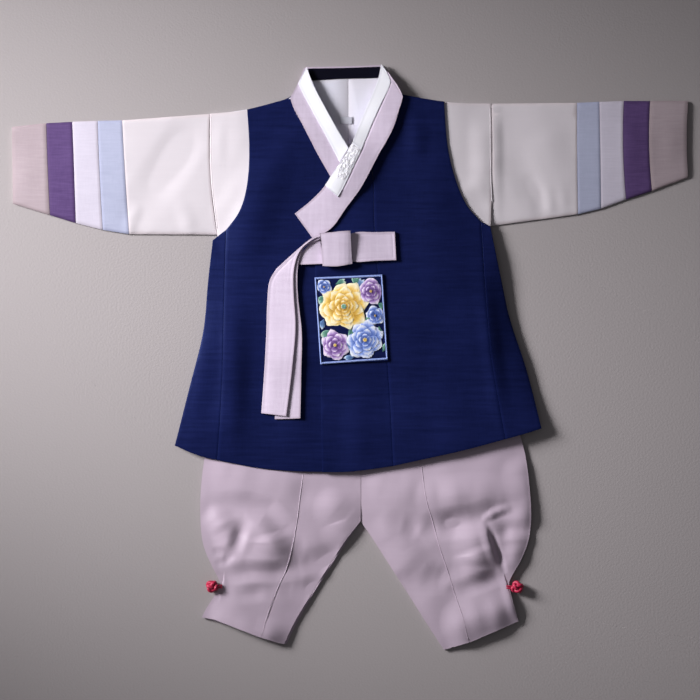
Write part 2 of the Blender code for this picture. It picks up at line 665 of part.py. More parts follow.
def vest_right_front():
    front = rail(RIGHT_ARMHOLE, shifted(RIGHT_GORE_SEAM, SEAM_GAP))
    lap = rail(RIGHT_NECK, HIDDEN_LAP)
    return [
        ("vest_front_right", lofted_grid((front, lap), MEDIUM, RIGHT_SHOULDER, RIGHT_FRONT_HEM), NAVY),
        ("vest_gore_right",
         lofted_grid((Rail(RIGHT_SIDE, ()), Rail(RIGHT_GORE_SEAM, ())), MEDIUM, None, RIGHT_GORE_HEM),
         NAVY),
    ]


def vest_left_front():
    overlap = lofted_grid(
        (Rail(FRONT_EDGE, ()), Rail(OVERLAP_SEAM, ())), MEDIUM, OVERLAP_TOP, OVERLAP_HEM
    )
    seam = rail(LEFT_NECK, shifted(OVERLAP_SEAM, SEAM_GAP))
    armhole = rail(LEFT_ARMHOLE, shifted(LEFT_GORE_SEAM, -SEAM_GAP))
    front = lofted_grid((seam, armhole), MEDIUM, LEFT_SHOULDER, LEFT_FRONT_HEM)
    gore = lofted_grid((Rail(LEFT_GORE_SEAM, ()), Rail(LEFT_SIDE, ())), MEDIUM, None, LEFT_GORE_HEM)
    return [
        ("vest_overlap", overlap, NAVY), ("vest_front_left", front, NAVY), ("vest_gore_left", gore, NAVY),
    ]


def crowned(grid, height):
    """The grid raised towards its middle, for a wrapped knot or a full loop."""
    rows, columns = grid.shape[:2]
    down = np.sin(np.pi * (np.arange(rows) + 0.5) / rows)[:, None]
    across = np.sin(np.pi * (np.arange(columns) + 0.5) / columns)[None]
    raised = grid.copy()
    raised[:, :, 2] += height * down * across
    return raised


def patch_corners(inset):
    """The patch's corners from the top left, clockwise, moved in by inset."""
    corners = np.array(PATCH_CORNERS, float)
    centre = corners.mean(0)
    across, down = corners[1] - corners[0], corners[3] - corners[0]
    width, height = np.linalg.norm(across), np.linalg.norm(down)
    across, down = across * (0.5 - inset / width), down * (0.5 - inset / height)
    return np.array([centre + a * across + b * down for a, b in ((-1, -1), (1, -1), (1, 1), (-1, 1))])


def patch_ring(inset, steps):
    """Points round the patch, steps[i] of them on side i."""
    corners = patch_corners(inset)
    return np.concatenate([
        start + (end - start) * (np.arange(count) / count)[:, None]
        for start, end, count in zip(corners, np.roll(corners, -1, axis=0), steps)
    ])


def sew_patch(garment):
    """The bordered patch on the overlap and left front, its border a raised frame."""
    top_left, top_right, low_right, low_left = patch_corners(0.0)
    ground = strip_grid(((top_left, low_left), (top_right, low_right)), MEDIUM)
    garment.lay([("patch_ground", ground, NAVY)], BORDER_WALL, air=True, fall=TIE_EASE, gap=SEAM_GAP)
    across, down = ground.shape[0] - 1, ground.shape[1] - 1
    loops = []
    for inset in (0.0, PATCH_BORDER):
        plan = patch_ring(inset, (across, down, across, down))
        lift = garment.height(plan, air=True)[:, None]
        loops.append([np.hstack([plan, lift + BORDER_WALL]), np.hstack([plan, lift])])
    ring_wall("patch_border", *loops, EDGE_BLUE, garment.collection)


def red_button(garment, side, middle_x, middle_y, width, depth, route):
    """A ball knot tied in cord, squat with lobes where the cord passes, and its loop."""
    data = bmesh.new()
    bmesh.ops.create_uvsphere(data, u_segments=20, v_segments=10, radius=1.0)
    for vertex in data.verts:
        x, y, z = vertex.co
        turn = KNOT_LOBES * math.atan2(y, x) + 3 * z
        lobe = 1.0 + LOBE_DEPTH * math.cos(turn) * (1 - z * z)
        vertex.co = (
            (middle_x + x * lobe * width / 2) * MM,
            (middle_y + y * lobe * depth / 2) * MM,
            (1 + z) * KNOT_HEIGHT / 2 * MM,
        )
    finish_object(f"button_{side}", data, RED, garment.collection)
    curve = bpy.data.curves.new(f"button_loop_{side}", "CURVE")
    curve.dimensions = "3D"
    curve.bevel_depth = LOOP_CORD * MM
    curve.bevel_resolution = 2
    curve.use_fill_caps = True
    spline = curve.splines.new("POLY")
    spline.points.add(len(route) - 1)
    for point, place in zip(spline.points, route):
        point.co = (*(value * MM for value in place), 1.0)
    curve.materials.append(cloth_material(curve.name, RED))
    garment.collection.objects.link(bpy.data.objects.new(curve.name, curve))


def build():
    for item in list(bpy.data.objects):
        bpy.data.objects.remove(item, do_unlink=True)
    collection = bpy.data.collections.new(SET_NAME)
    bpy.context.scene.collection.children.link(collection)
    garment = Garment(collection, coat_outline())
    lay_trousers(garment)
    sew_sleeves(garment)
    garment.lay(vest_back(), SILK_WALL)
    garment.lay(
        [("jacket_back_right", jacket_half(-1, JACKET_BACK_LEVELS, ()), WHITE),
         ("jacket_back_left", jacket_half(1, JACKET_BACK_LEVELS, ()), WHITE)],
        SILK_WALL,
    )
    garment.lay([("neck_label", strip_grid(LABEL, SMALL), WHITE)], LABEL_WALL, gap=0.0, fall=TIE_EASE)
    garment.lay(
        [("jacket_front_right", jacket_half(-1, JACKET_FRONT_LEVELS, RIGHT_JACKET_NECK), IVORY),
         ("jacket_front_left", jacket_half(1, JACKET_FRONT_LEVELS, LEFT_JACKET_NECK), IVORY)],
        SILK_WALL, air=True,
    )
    garment.lay(vest_right_front(), SILK_WALL, air=True)
    under = [("collar_under", strip_grid(UNDER_COLLAR, MEDIUM), LILAC)]
    garment.lay(under, COLLAR_WALL, True, fall=COLLAR_EASE)
    under = [("strip_under", strip_grid(UNDER_STRIP, MEDIUM), WHITE)]
    garment.lay(under, STRIP_WALL, True, fall=COLLAR_EASE)
    garment.lay(vest_left_front(), SILK_WALL, air=True, gap=COLLAR_GAP)
    garment.lay(
        [("collar_over", strip_grid(OVER_COLLAR, FINE), LILAC)],
        COLLAR_WALL, True, fall=COLLAR_EASE, gap=COLLAR_GAP,
    )
    garment.lay(
        [("strip_over", strip_grid(OVER_STRIP, FINE), WHITE),
         ("strip_end", strip_grid(STRIP_END, SMALL), WHITE)],
        STRIP_WALL, True, fall=COLLAR_EASE,
    )
    garment.wall("collar_back", strip_grid(BACK_COLLAR, MEDIUM), BACK_COLLAR_WALL, LILAC)
    garment.wall(
        "neck_facing", strip_grid(NECK_FACING, MEDIUM), FACING_WALL, NAVY, BACK_COLLAR_WALL + SEAM_GAP
    )
    sew_patch(garment)
    ribbons = (("tie_inner", TIE_INNER), ("tie_tail_under", TAIL_UNDER), ("tie_tail_upper", TAIL_UPPER))
    for name, pairs in ribbons:
        garment.lay([(name, strip_grid(pairs, FINE, [3]), LILAC)], TIE_WALL, True, fall=TIE_EASE)
    garment.lay([("tie_loop", strip_grid(TIE_LOOP, SMALL), LILAC)], 2 * TIE_WALL, True, fall=TIE_EASE)
    knot = crowned(strip_grid(TIE_KNOT, SMALL), KNOT_CROWN)
    garment.lay([("tie_knot", knot, LILAC)], 2 * TIE_WALL, True)
    for side, *sizes in KNOTS:
        red_button(garment, side, *sizes)


build()
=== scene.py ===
import math
import bmesh
import bpy
import numpy as np
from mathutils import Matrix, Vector, noise
from mathutils.bvhtree import BVHTree
from mathutils.kdtree import KDTree


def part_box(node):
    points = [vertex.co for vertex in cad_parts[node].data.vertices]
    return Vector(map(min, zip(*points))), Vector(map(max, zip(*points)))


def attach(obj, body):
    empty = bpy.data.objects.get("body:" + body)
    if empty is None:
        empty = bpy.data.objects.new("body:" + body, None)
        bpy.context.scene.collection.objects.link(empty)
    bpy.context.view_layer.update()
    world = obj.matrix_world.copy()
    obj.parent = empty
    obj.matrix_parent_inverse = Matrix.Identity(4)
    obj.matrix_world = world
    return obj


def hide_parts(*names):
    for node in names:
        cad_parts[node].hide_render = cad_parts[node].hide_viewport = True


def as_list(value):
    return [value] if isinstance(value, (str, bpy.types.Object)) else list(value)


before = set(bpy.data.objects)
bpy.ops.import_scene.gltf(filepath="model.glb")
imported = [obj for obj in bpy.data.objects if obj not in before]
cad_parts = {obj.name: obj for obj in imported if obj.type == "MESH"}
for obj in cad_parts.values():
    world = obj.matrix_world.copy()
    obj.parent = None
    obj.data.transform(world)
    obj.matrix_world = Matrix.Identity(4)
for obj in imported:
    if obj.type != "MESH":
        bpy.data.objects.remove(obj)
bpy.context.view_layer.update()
mm = 0.001

# The camera looks straight down, as the photo does, and the light comes low from the left.
stageLook = {
    "cameraHeight": 5.04, "lens": 240, "centerY": 0.0076,
    "floorSize": 6.0, "floorColor": (0.36, 0.335, 0.335), "floorDrop": 0.0002,
    "keyPlace": (-1.50, 0.62, 0.76), "keyAim": (-0.200, 0.080, 0), "keySize": 0.60, "keySpread": 40,
    "keyPower": 4.7, "keyColor": (1.0, 0.97, 1.0),
    "fillPlace": (-0.5, -0.1, 1.8), "fillSize": 2.2, "fillPower": 1.3, "fillColor": (1.0, 0.97, 0.95),
    "worldColor": (0.95, 0.92, 1.0), "worldStrength": 0.095,
}


def addObject(name, data):
    made = bpy.data.objects.new(name, data)
    bpy.context.scene.collection.objects.link(made)
    return made


def addLight(name, place, size, power, color, aim=(0, 0, 0), spread=180):
    data = bpy.data.lights.new(name, "AREA")
    data.size, data.energy, data.color, data.spread = size, power, color, math.radians(spread)
    light = addObject(name, data)
    light.location = place
    light.rotation_euler = (Vector(aim) - Vector(place)).to_track_quat("-Z", "Y").to_euler()


def setStage():
    bpy.ops.object.select_all(action="DESELECT")
    bpy.ops.mesh.primitive_plane_add(size=stageLook["floorSize"], location=(0, 0, -stageLook["floorDrop"]))
    floor = bpy.context.object
    floor.name = "floor"
    floor.data.materials.append(floorPaper())
    for name, more in (("key", (stageLook["keyAim"], stageLook["keySpread"])), ("fill", ())):
        values = [stageLook[name + part] for part in ("Place", "Size", "Power", "Color")]
        addLight(name, *values, *more)
    world = bpy.data.worlds.new("softRoom")
    world.use_nodes = True
    back = world.node_tree.nodes["Background"]
    back.inputs["Color"].default_value = (*stageLook["worldColor"], 1)
    back.inputs["Strength"].default_value = stageLook["worldStrength"]
    bpy.context.scene.world = world
    bpy.context.scene.view_settings.view_transform = "Standard"
    data = bpy.data.cameras.new("camera")
    data.lens = stageLook["lens"]
    camera = addObject("camera", data)
    camera.location = (0, stageLook["centerY"], stageLook["cameraHeight"])
    bpy.context.scene.camera = camera


class Wire:
    # an output socket that takes the usual signs and adds the Math nodes for them
    def __init__(self, finish, socket):
        self.finish, self.socket = finish, socket

    def sum(self, operation, first, second):
        return self.finish.node("ShaderNodeMath", {"operation": operation}, {0: first, 1: second})

    def __add__(self, other):
        return self.sum("ADD", self, other)

    def __sub__(self, other):
        return self.sum("SUBTRACT", self, other)

    def __rsub__(self, other):
        return self.sum("SUBTRACT", other, self)

    def __mul__(self, other):
        return self.sum("MULTIPLY", self, other)

    __radd__, __rmul__ = __add__, __mul__


class Finish:
    # a material and the nodes behind its Principled shader
    def __init__(self, name):
        self.material = bpy.data.materials.new(name)
        self.material.use_nodes = True
        self.tree = self.material.node_tree
        self.shader = self.tree.nodes["Principled BSDF"]

    def plug(self, socket, value):
        if isinstance(value, Wire):
            self.tree.links.new(value.socket, socket)
        elif isinstance(value, tuple) and len(value) == 3 and socket.type == "RGBA":
            socket.default_value = (*value, 1)
        else:
            socket.default_value = value

    def node(self, kind, settings=None, values=None, output=0):
        made = self.tree.nodes.new(kind)
        for name, value in (settings or {}).items():
            if name == "stops":
                while len(made.color_ramp.elements) < len(value):
                    made.color_ramp.elements.new(0.5)
                for element, (place, color) in zip(made.color_ramp.elements, value):
                    element.position, element.color = place, (*color, 1)
            else:
                setattr(made, name, value)
        for name, value in (values or {}).items():
            self.plug(made.inputs[name], value)
        return Wire(self, made.outputs[output])

    def here(self, stretch):
        # the object's own coordinates, stretched so that a pattern gets its grain
        place = self.node("ShaderNodeTexCoord", output="Object")
        return self.node("ShaderNodeMapping", {}, {"Vector": place, "Scale": stretch})

    def grain(self, stretch, detail=2.0, rough=0.5):
        values = {"Vector": self.here(stretch), "Scale": 1.0, "Detail": detail, "Roughness": rough}
        return self.node("ShaderNodeTexNoise", {}, values)

    def mixed(self, amount, first, second):
        made = self.tree.nodes.new("ShaderNodeMix")
        made.data_type = "RGBA"
        for index, value in ((0, amount), (6, first), (7, second)):
            self.plug(made.inputs[index], value)
        return Wire(self, made.outputs[2])

    def bump(self, height, depth):
        return self.node("ShaderNodeBump", {}, {"Height": height, "Distance": depth, "Strength": 1.0})

    def shade(self, **values):
        for name, value in values.items():
            self.plug(self.shader.inputs[name.replace("_", " ")], value)
        return self.material


def floorPaper():
    # pale matt paper with a faint mottle
    paper = Finish("floorPaper")
    mottle = paper.grain((9, 9, 9), 3)
    color = stageLook["floorColor"]
    tone = paper.mixed(mottle, tuple(c * 0.985 for c in color), tuple(c * 1.015 for c in color))
    return paper.shade(Base_Color=tone, Roughness=0.92, Normal=paper.bump(paper.grain((420, 420, 420)), 0.0002))


# Cloth finishes: what most share, then each. Weft and slub are noise scales along and across the thread,
# cloud is the dye's unevenness, and slot is a name for the cloth.
plainCloth = {
    "roughness": 0.58, "sheen": 0.06, "sheenTint": (1.0, 1.0, 1.0), "weft": (90, 850), "slub": (40, 480),
    "cross": 0.0, "cloud": 0.12, "bump": 0.00012, "gloss": 0.25, "glossTint": (1.0, 1.0, 1.0),
    "rimShare": 0.5,
}
clothLooks = {
    "navySilk": {
        "slot": "navy_silk", "color": (0.003, 0.0052, 0.032), "light": (0.0082, 0.0128, 0.073),
        "roughness": 0.42, "sheen": 0.03, "sheenTint": (0.12, 0.25, 1.0), "weft": (90, 1100),
        "slub": (18, 300), "slubShare": 0.62, "cloud": 0.34, "bump": 0.0001, "gloss": 0.16,
        "glossTint": (0.3, 0.42, 1.0), "rim": (0.0035, 0.007, 0.05),
    },
    # the neck facing: navy cloth, painted near black with the shade that falls on it inside the collar
    "navyLining": {
        "slot": "navy_silk", "color": (0.0012, 0.0012, 0.0045), "light": (0.003, 0.003, 0.011),
        "roughness": 0.6, "sheen": 0.01, "sheenTint": (0.4, 0.4, 1.0), "weft": (90, 1100),
        "slub": (30, 620), "slubShare": 0.4, "cloud": 0.3, "bump": 0.0001, "gloss": 0.08,
        "rim": (0.003, 0.003, 0.012), "rimShare": 0.3,
    },
    "lilacSilk": {
        "slot": "lilac_silk", "color": (0.5, 0.425, 0.53), "light": (0.65, 0.575, 0.69),
        "sheenTint": (1.0, 0.95, 1.0), "weft": (110, 900), "slub": (28, 290), "slubShare": 0.42,
        "cross": 0.42, "cloud": 0.1, "rim": (0.36, 0.285, 0.35), "rimShare": 0.45,
    },
    "whiteSilk": {
        "slot": "white_silk", "color": (0.9, 0.92, 1.0), "light": (0.97, 0.99, 1.0), "roughness": 0.4,
        "weft": (160, 1100), "slub": (60, 700), "slubShare": 0.3, "cloud": 0.05, "bump": 0.00006,
        "gloss": 0.4, "rim": (0.66, 0.66, 0.74),
    },
    "liningSilk": {
        "slot": "white_silk", "color": (0.74, 0.75, 0.86), "light": (0.9, 0.91, 1.0), "roughness": 0.42,
        "sheen": 0.08, "weft": (110, 1000), "slub": (20, 300), "slubShare": 0.22, "cloud": 0.25,
        "bump": 0.00006, "gloss": 0.35, "rim": (0.52, 0.47, 0.48), "rimShare": 0.4,
    },
    "ivorySatin": {
        "slot": "ivory_satin", "color": (0.57, 0.535, 0.565), "light": (0.68, 0.645, 0.675),
        "roughness": 0.42, "sheen": 0.08, "sheenTint": (1.0, 0.97, 0.97), "weft": (100, 1200),
        "slub": (14, 260), "slubShare": 0.16, "cloud": 0.22, "bump": 0.00005, "gloss": 0.35,
        "rim": (0.58, 0.495, 0.505), "rimShare": 0.45,
    },
    "paleBlueSilk": {
        "slot": "pale_blue_silk", "color": (0.34, 0.37, 0.495), "light": (0.455, 0.48, 0.62),
        "sheenTint": (0.9, 0.95, 1.0), "slubShare": 0.5, "rim": (0.3, 0.32, 0.46),
    },
    "paleLilacSilk": {
        "slot": "pale_lilac_silk", "color": (0.5, 0.475, 0.56), "light": (0.64, 0.605, 0.7),
        "slubShare": 0.45, "rim": (0.44, 0.4, 0.46),
    },
    "purpleSilk": {
        "slot": "purple_silk", "color": (0.06, 0.031, 0.11), "light": (0.13, 0.075, 0.215),
        "roughness": 0.52, "sheen": 0.08, "sheenTint": (0.8, 0.6, 1.0), "slubShare": 0.6, "gloss": 0.28,
        "rim": (0.045, 0.022, 0.075),
    },
    "taupeSilk": {
        "slot": "taupe_silk", "color": (0.33, 0.27, 0.292), "light": (0.455, 0.382, 0.41),
        "sheenTint": (1.0, 0.95, 0.95), "slub": (36, 420), "slubShare": 0.46, "cloud": 0.3,
        "rim": (0.27, 0.21, 0.22),
    },
    "mauveSatin": {
        "slot": "mauve_satin", "color": (0.412, 0.337, 0.412), "light": (0.516, 0.428, 0.511),
        "roughness": 0.44, "sheenTint": (1.0, 0.93, 1.0), "weft": (90, 1200), "slub": (14, 260),
        "slubShare": 0.18, "cloud": 0.16, "bump": 0.00005, "gloss": 0.35, "rim": (0.48, 0.39, 0.46),
        "rimShare": 0.3,
    },
    "labelTape": {
        "slot": "white_silk", "color": (0.53, 0.54, 0.6), "light": (0.61, 0.62, 0.68), "roughness": 0.5,
        "sheen": 0.05, "weft": (900, 900), "slub": (300, 1600), "slubShare": 0.3, "cloud": 0.1,
        "bump": 0.00006, "gloss": 0.2, "rim": (0.5, 0.51, 0.58), "rimShare": 0.6,
    },
}


def clothFinish(name):
    # woven silk: fine threads both ways, longer slubs across the width, a rim in the shade of its turned edge
    look = {**plainCloth, **clothLooks[name]}
    cloth = Finish(name)
    weft = cloth.grain((look["weft"][0], look["weft"][1], 60))
    warp = cloth.grain((look["weft"][1], look["weft"][0], 60))
    slub = cloth.grain((look["slub"][0], look["slub"][1], 20), 3, 0.6)
    cloud = cloth.grain((14, 10, 10), 3)
    share = look["slubShare"]
    tone = (slub - 0.5) * (share * 1.6) + (weft - 0.5) * (share * 0.8) + (warp - 0.5) * (share * 0.6)
    if look["cross"]:
        across = cloth.grain((look["slub"][1], look["slub"][0], 20), 3, 0.6)
        tone = tone + (across - 0.5) * (look["cross"] * 1.6)
    tone = tone + (cloud - 0.5) * (look["cloud"] * 2.0) + 0.5
    ramp = cloth.node("ShaderNodeClamp", {}, {"Value": tone})
    rim = cloth.node("ShaderNodeAttribute", {"attribute_name": "rim"}, output="Fac")
    color = cloth.mixed(rim * look["rimShare"], cloth.mixed(ramp, look["color"], look["light"]), look["rim"])
    return cloth.shade(
        Base_Color=color,
        Roughness=slub * 0.16 + (look["roughness"] - 0.08),
        Normal=cloth.bump(weft * 0.6 + warp * 0.4 + slub * 0.5, look["bump"]),
        Sheen_Weight=look["sheen"], Sheen_Tint=look["sheenTint"], Sheen_Roughness=0.45,
        Specular_IOR_Level=look["gloss"], Specular_Tint=look["glossTint"],
    )


# Embroidery threads: the colours from a petal's foot to its tip, and how deep its stitches lie.
threadLooks = {
    "yellowThread": ((0.55, 0.27, 0.02), (0.88, 0.60, 0.13), (1.0, 0.93, 0.66), 0.0008),
    "blueThread": ((0.040, 0.10, 0.42), (0.26, 0.38, 0.80), (0.86, 0.91, 1.0), 0.0008),
    "violetThread": ((0.11, 0.035, 0.22), (0.42, 0.26, 0.60), (0.92, 0.83, 0.96), 0.0008),
    "leafThread": ((0.03, 0.15, 0.12), (0.20, 0.46, 0.32), (0.84, 0.93, 0.84), 0.0008),
    "tealThread": ((0.03, 0.10, 0.28), (0.20, 0.38, 0.66), (0.82, 0.90, 0.98), 0.0008),
    "whiteThread": ((0.80, 0.80, 0.86), (0.92, 0.92, 0.96), (1.0, 1.0, 1.0), 0.00012),
    # the border's thread runs from painted shade at its foot to painted highlight on its crown
    "borderThread": ((0.07, 0.12, 0.36), (0.22, 0.31, 0.66), (0.46, 0.56, 0.88), 0.0008),
}


def threadFinish(name):
    # satin stitches: threads run along each petal, from its deep foot to its pale tip
    thread = Finish(name)
    place = thread.node("ShaderNodeUVMap", {"uv_map": "thread"})
    lay = thread.node("ShaderNodeMapping", {}, {"Vector": place, "Scale": (2.2, 34.0, 1.0)})
    strand = thread.node("ShaderNodeTexNoise", {}, {"Vector": lay, "Scale": 1.0, "Detail": 2.0})
    tone = thread.node("ShaderNodeAttribute", {"attribute_name": "tone"}, output="Fac")
    *colors, depth = threadLooks[name]
    stops = list(zip((0.0, 0.5, 1.0), colors))
    color = thread.node("ShaderNodeValToRGB", {"stops": stops}, {"Fac": tone + (strand - 0.5) * 0.55})
    return thread.shade(
        Base_Color=color, Roughness=strand * 0.20 + 0.42, Normal=thread.bump(strand, depth),
        Sheen_Weight=0.08, Sheen_Roughness=0.4, Specular_IOR_Level=0.35,
    )


def cordFinish():
    # red braided cord, its plies in the mesh and its fibres here
    cord = Finish("redCord")
    fibre = cord.grain((900, 900, 900), 3)
    patch = cord.grain((160, 160, 160), 2)
    color = cord.mixed(fibre, (0.42, 0.012, 0.050), (0.72, 0.035, 0.115))
    return cord.shade(
        Base_Color=cord.mixed(patch, color, (0.33, 0.008, 0.040)), Roughness=0.46,
        Normal=cord.bump(fibre, 0.00015), Sheen_Weight=0.12, Sheen_Tint=(1.0, 0.5, 0.6),
        Sheen_Roughness=0.4, Specular_IOR_Level=0.4,
    )


finishes = {}


def finishOf(name):
    if name not in finishes:
        if name in clothLooks:
            finishes[name] = clothFinish(name)
        else:
            finishes[name] = threadFinish(name) if name in threadLooks else cordFinish()
    return finishes[name]


def ease(amount):
    amount = np.clip(amount, 0.0, 1.0)
    return amount * amount * (3.0 - 2.0 * amount)


# Main creases, in millimetres: (points along it, half its width, height or depth).
vestCreases = (
    (((-88, 205), (-100, 170), (-112, 130)), 24, 2.6),
    (((-126, 70), (-124, -20), (-128, -108)), 13, 1.1),
    (((-150, 60), (-158, -10), (-172, -90)), 12, 0.8),
    (((-96, 60), (-100, -40), (-92, -112)), 24, -0.7),
    (((-52, 20), (-56, -60), (-60, -118)), 18, 0.7),
    (((66, 266), (72, 240), (70, 205)), 11, 0.9),
    (((88, 200), (94, 150), (100, 90)), 24, 0.8),
    (((60, 60), (64, -20), (72, -105)), 22, 0.6),
    (((112, 40), (120, -30), (128, -92)), 22, -0.6),
    (((140, 100), (148, 40), (158, -40), (166, -84)), 10, 0.9),
    (((176, 20), (186, -30), (196, -76)), 11, 0.6),
    (((8, -40), (6, -80), (10, -120)), 14, 0.6),
    (((-60, 262), (-82, 240), (-96, 205)), 14, -0.6),
)
jacketCreases = (
    (((-164, 257), (-196, 206), (-230, 156)), 20, -2.0),
    (((-231, 158), (-236, 146), (-239, 136)), 7, 0.9),
    (((-180, 160), (-176, 148), (-172, 136)), 9, 0.6),
    (((-113, 252), (-118, 226), (-124, 200)), 12, 0.3),
    (((-140, 256), (-141, 235), (-140, 205)), 7, 0.6),
    (((-122, 190), (-132, 170), (-143, 150)), 9, 0.8),
    (((170, 230), (186, 200), (209, 154)), 15, -0.9),
    (((205, 250), (214, 225), (226, 196)), 22, 1.2),
    (((196, 190), (203, 172), (206, 154)), 8, -0.9),
    (((214, 178), (216, 167), (217, 156)), 6, 0.5),
    (((228, 182), (230, 172), (232, 160)), 6, 0.4),
    (((158, 276), (159, 220), (159, 170), (158, 140)), 6, 0.8),
    (((146, 262), (145, 225), (147, 186)), 14, 2.4),
    (((123, 178), (136, 186), (148, 184)), 8, 0.8),
    (((129, 168), (140, 164), (150, 156)), 6, -0.6),
    (((300, 268), (303, 230), (300, 180)), 10, 0.5),
    (((-352, 240), (-348, 210), (-352, 175)), 12, 0.5),
    (((344, 262), (348, 235), (345, 200)), 12, 0.5),
)
rightLegCreases = (
    (((-87, -189), (-84, -202), (-90, -216)), 24, 6.0),
    (((-142, -175), (-135, -187), (-131, -198)), 13, 3.2),
    (((-15, -165), (-3, -175), (-7, -190)), 19, 3.0),
    (((-138, -283), (-104, -298), (-61, -306)), 15, 3.4),
    (((12, -187), (-19, -237), (-53, -294)), 11, 2.0),
    (((-130, -121), (-104, -129), (-73, -137)), 22, 2.4),
    (((-151, -163), (-130, -160), (-109, -161), (-90, -168), (-73, -185), (-63, -206)), 13, -3.8),
    (((-115, -180), (-120, -194), (-127, -214)), 8, -2.0),
    (((-105, -185), (-115, -204), (-130, -227)), 8, 0.9),
    (((-143, -210), (-136, -211), (-130, -214)), 5, -0.9),
    (((-140, -222), (-135, -221), (-130, -218)), 5, -0.9),
    (((-132, -235), (-111, -231), (-80, -232), (-57, -228)), 10, -3.4),
    (((-53, -224), (-38, -221), (-23, -217)), 13, -1.8),
    (((-63, -248), (-50, -250), (-34, -247)), 11, -1.6),
    (((-130, -253), (-115, -256), (-88, -254)), 9, -1.6),
    (((-3, -206), (8, -196), (16, -187)), 7, -1.4),
    (((-46, -146), (-19, -144), (8, -140)), 14, -1.2),
)
leftLegCreases = (
    (((93, -152), (128, -148), (162, -150)), 18, 4.2),
    (((183, -125), (187, -156), (186, -190)), 15, 4.4),
    (((134, -203), (137, -212), (135, -227)), 19, 5.0),
    (((179, -200), (178, -217), (172, -233)), 12, 3.4),
    (((124, -285), (147, -277), (170, -269)), 20, 6.0),
    (((43, -194), (54, -214), (70, -233)), 20, 2.4),
    (((74, -248), (89, -271), (104, -294)), 16, 1.0),
    (((93, -182), (112, -179), (129, -177), (153, -170)), 14, -4.8),
    (((168, -164), (158, -167), (148, -173)), 5, 2.6),
    (((148, -178), (154, -194), (160, -212), (166, -230)), 3.6, -2.8),
    (((144, -183), (148, -198), (154, -214), (161, -230)), 6, 1.6),
    (((159, -189), (174, -185), (191, -187)), 9, -2.0),
    (((114, -251), (131, -247), (147, -241), (164, -237)), 9, -2.6),
    (((54, -180), (66, -183), (77, -189)), 14, -1.8),
    (((93, -231), (104, -234), (117, -231)), 10, -1.2),
    (((58, -244), (74, -242), (93, -241)), 12, -1.4),
    (((35, -137), (54, -142), (74, -144)), 16, 1.2),
)
# Rolled seams: (side, starts of the names of the cloth below, radius, how far it stands out, finish, points).
rollWidth, rollSpots, rollSides = 0.9, 90, 12
seamRolls = (
    ("right", ("jacket_front", "sleeve_right_upper"), 0.5, 0.1, "ivorySatin", (
        (-150, 259), (-150, 224), (-148, 180), (-143, 139),
    )),
    ("left", ("jacket_front", "sleeve_left_upper"), 0.7, 0.2, "ivorySatin", (
        (151.4, 269), (151.6, 224), (152.6, 180), (155, 149),
    )),
    ("right", ("trousers_front",), 0.42, 0.25, "mauveSatin", (
        (-50, -122), (-54, -152), (-57, -176), (-62, -204), (-69, -230), (-77, -247),
        (-90, -282), (-95, -300),
    )),
    ("left", ("trousers_front",), 0.42, 0.25, "mauveSatin", (
        (77, -118), (82, -152), (89, -177), (97, -206), (105.5, -231), (111.5, -251),
        (121, -279), (127.5, -305),
    )),
    ("right", ("trousers_back",), 1.0, 1.7, "mauveSatin", (
        (9.2, -179), (-4.2, -198.3), (-18.2, -220.3), (-32.2, -242.3), (-43.2, -260.3), (-57.2, -283.3),
        (-69, -307.5),
    )),
    ("left", ("trousers_back",), 1.0, 1.7, "mauveSatin", (
        (13.6, -179), (26.2, -196.3), (42.2, -221.3), (60.2, -249.3), (69.2, -263.3), (84.2, -287.3),
        (101.5, -313.5),
    )),
)
# The share of a crease that fades at an end, its reach past half its width, and its unevenness.
creaseEnds, creaseReach, creaseSway = 0.35, 1.45, 0.18


def creaseHeights(plan, creases, seed):
    # soft ridges and troughs, uneven along their length, the slim ones fading at both ends
    total = np.zeros(len(plan))
    for index, (points, halfWidth, height) in enumerate(creases):
        points = np.array(points, float)
        low, high = points.min(0) - halfWidth * creaseReach, points.max(0) + halfWidth * creaseReach
        near = np.where(((plan > low) & (plan < high)).all(1))[0]
        if not len(near):
            continue
        runs = np.diff(points, axis=0)
        lengths = np.linalg.norm(runs, axis=1)
        offset = plan[near][:, None] - points[None, :-1]
        share = np.clip((offset * runs).sum(2) / (lengths**2), 0, 1)
        gap = np.linalg.norm(offset - share[:, :, None] * runs, axis=2)
        best = gap.argmin(1)
        rows = np.arange(len(near))
        passed = np.concatenate([[0], np.cumsum(lengths)])[best]
        along = (passed + share[rows, best] * lengths[best]) / lengths.sum()
        sway = 1.0 + creaseSway * np.sin(along * 6.3 + index * 1.7 + seed)
        slim = min(lengths.sum() / (6 * halfWidth), 1.0) * 0.75
        fade = (1 - slim * (1 - ease(along / creaseEnds))) * (1 - slim * (1 - ease((1 - along) / creaseEnds)))
        total[near] += height * sway * fade * ease(1 - gap[rows, best] / (halfWidth * creaseReach))
    return total


def rumple(plan, size, depth, seed):
    # a slow unevenness of the cloth between its creases
    at = [noise.noise(Vector((x / size, y / size, seed))) for x, y in plan]
    return depth * np.array(at)


def chooseOnly(piece):
    bpy.ops.object.select_all(action="DESELECT")
    piece.select_set(True)
    bpy.context.view_layer.objects.active = piece


def useModifier(piece, kind, **settings):
    chooseOnly(piece)
    made = piece.modifiers.new(kind.lower(), kind)
    for name, value in settings.items():
        setattr(made, name, value)
    bpy.ops.object.modifier_apply(modifier=made.name)


def pointsOf(piece):
    flat = np.empty(len(piece.data.vertices) * 3, np.float32)
    piece.data.vertices.foreach_get("co", flat)
    return flat.reshape(-1, 3).astype(float)


def placePoints(piece, points):
    piece.data.vertices.foreach_set("co", points.astype(np.float32).ravel())
    piece.data.update()


def pieceName(node):
    first, *rest = node.split("_")
    return first + "".join(word.capitalize() for word in rest)


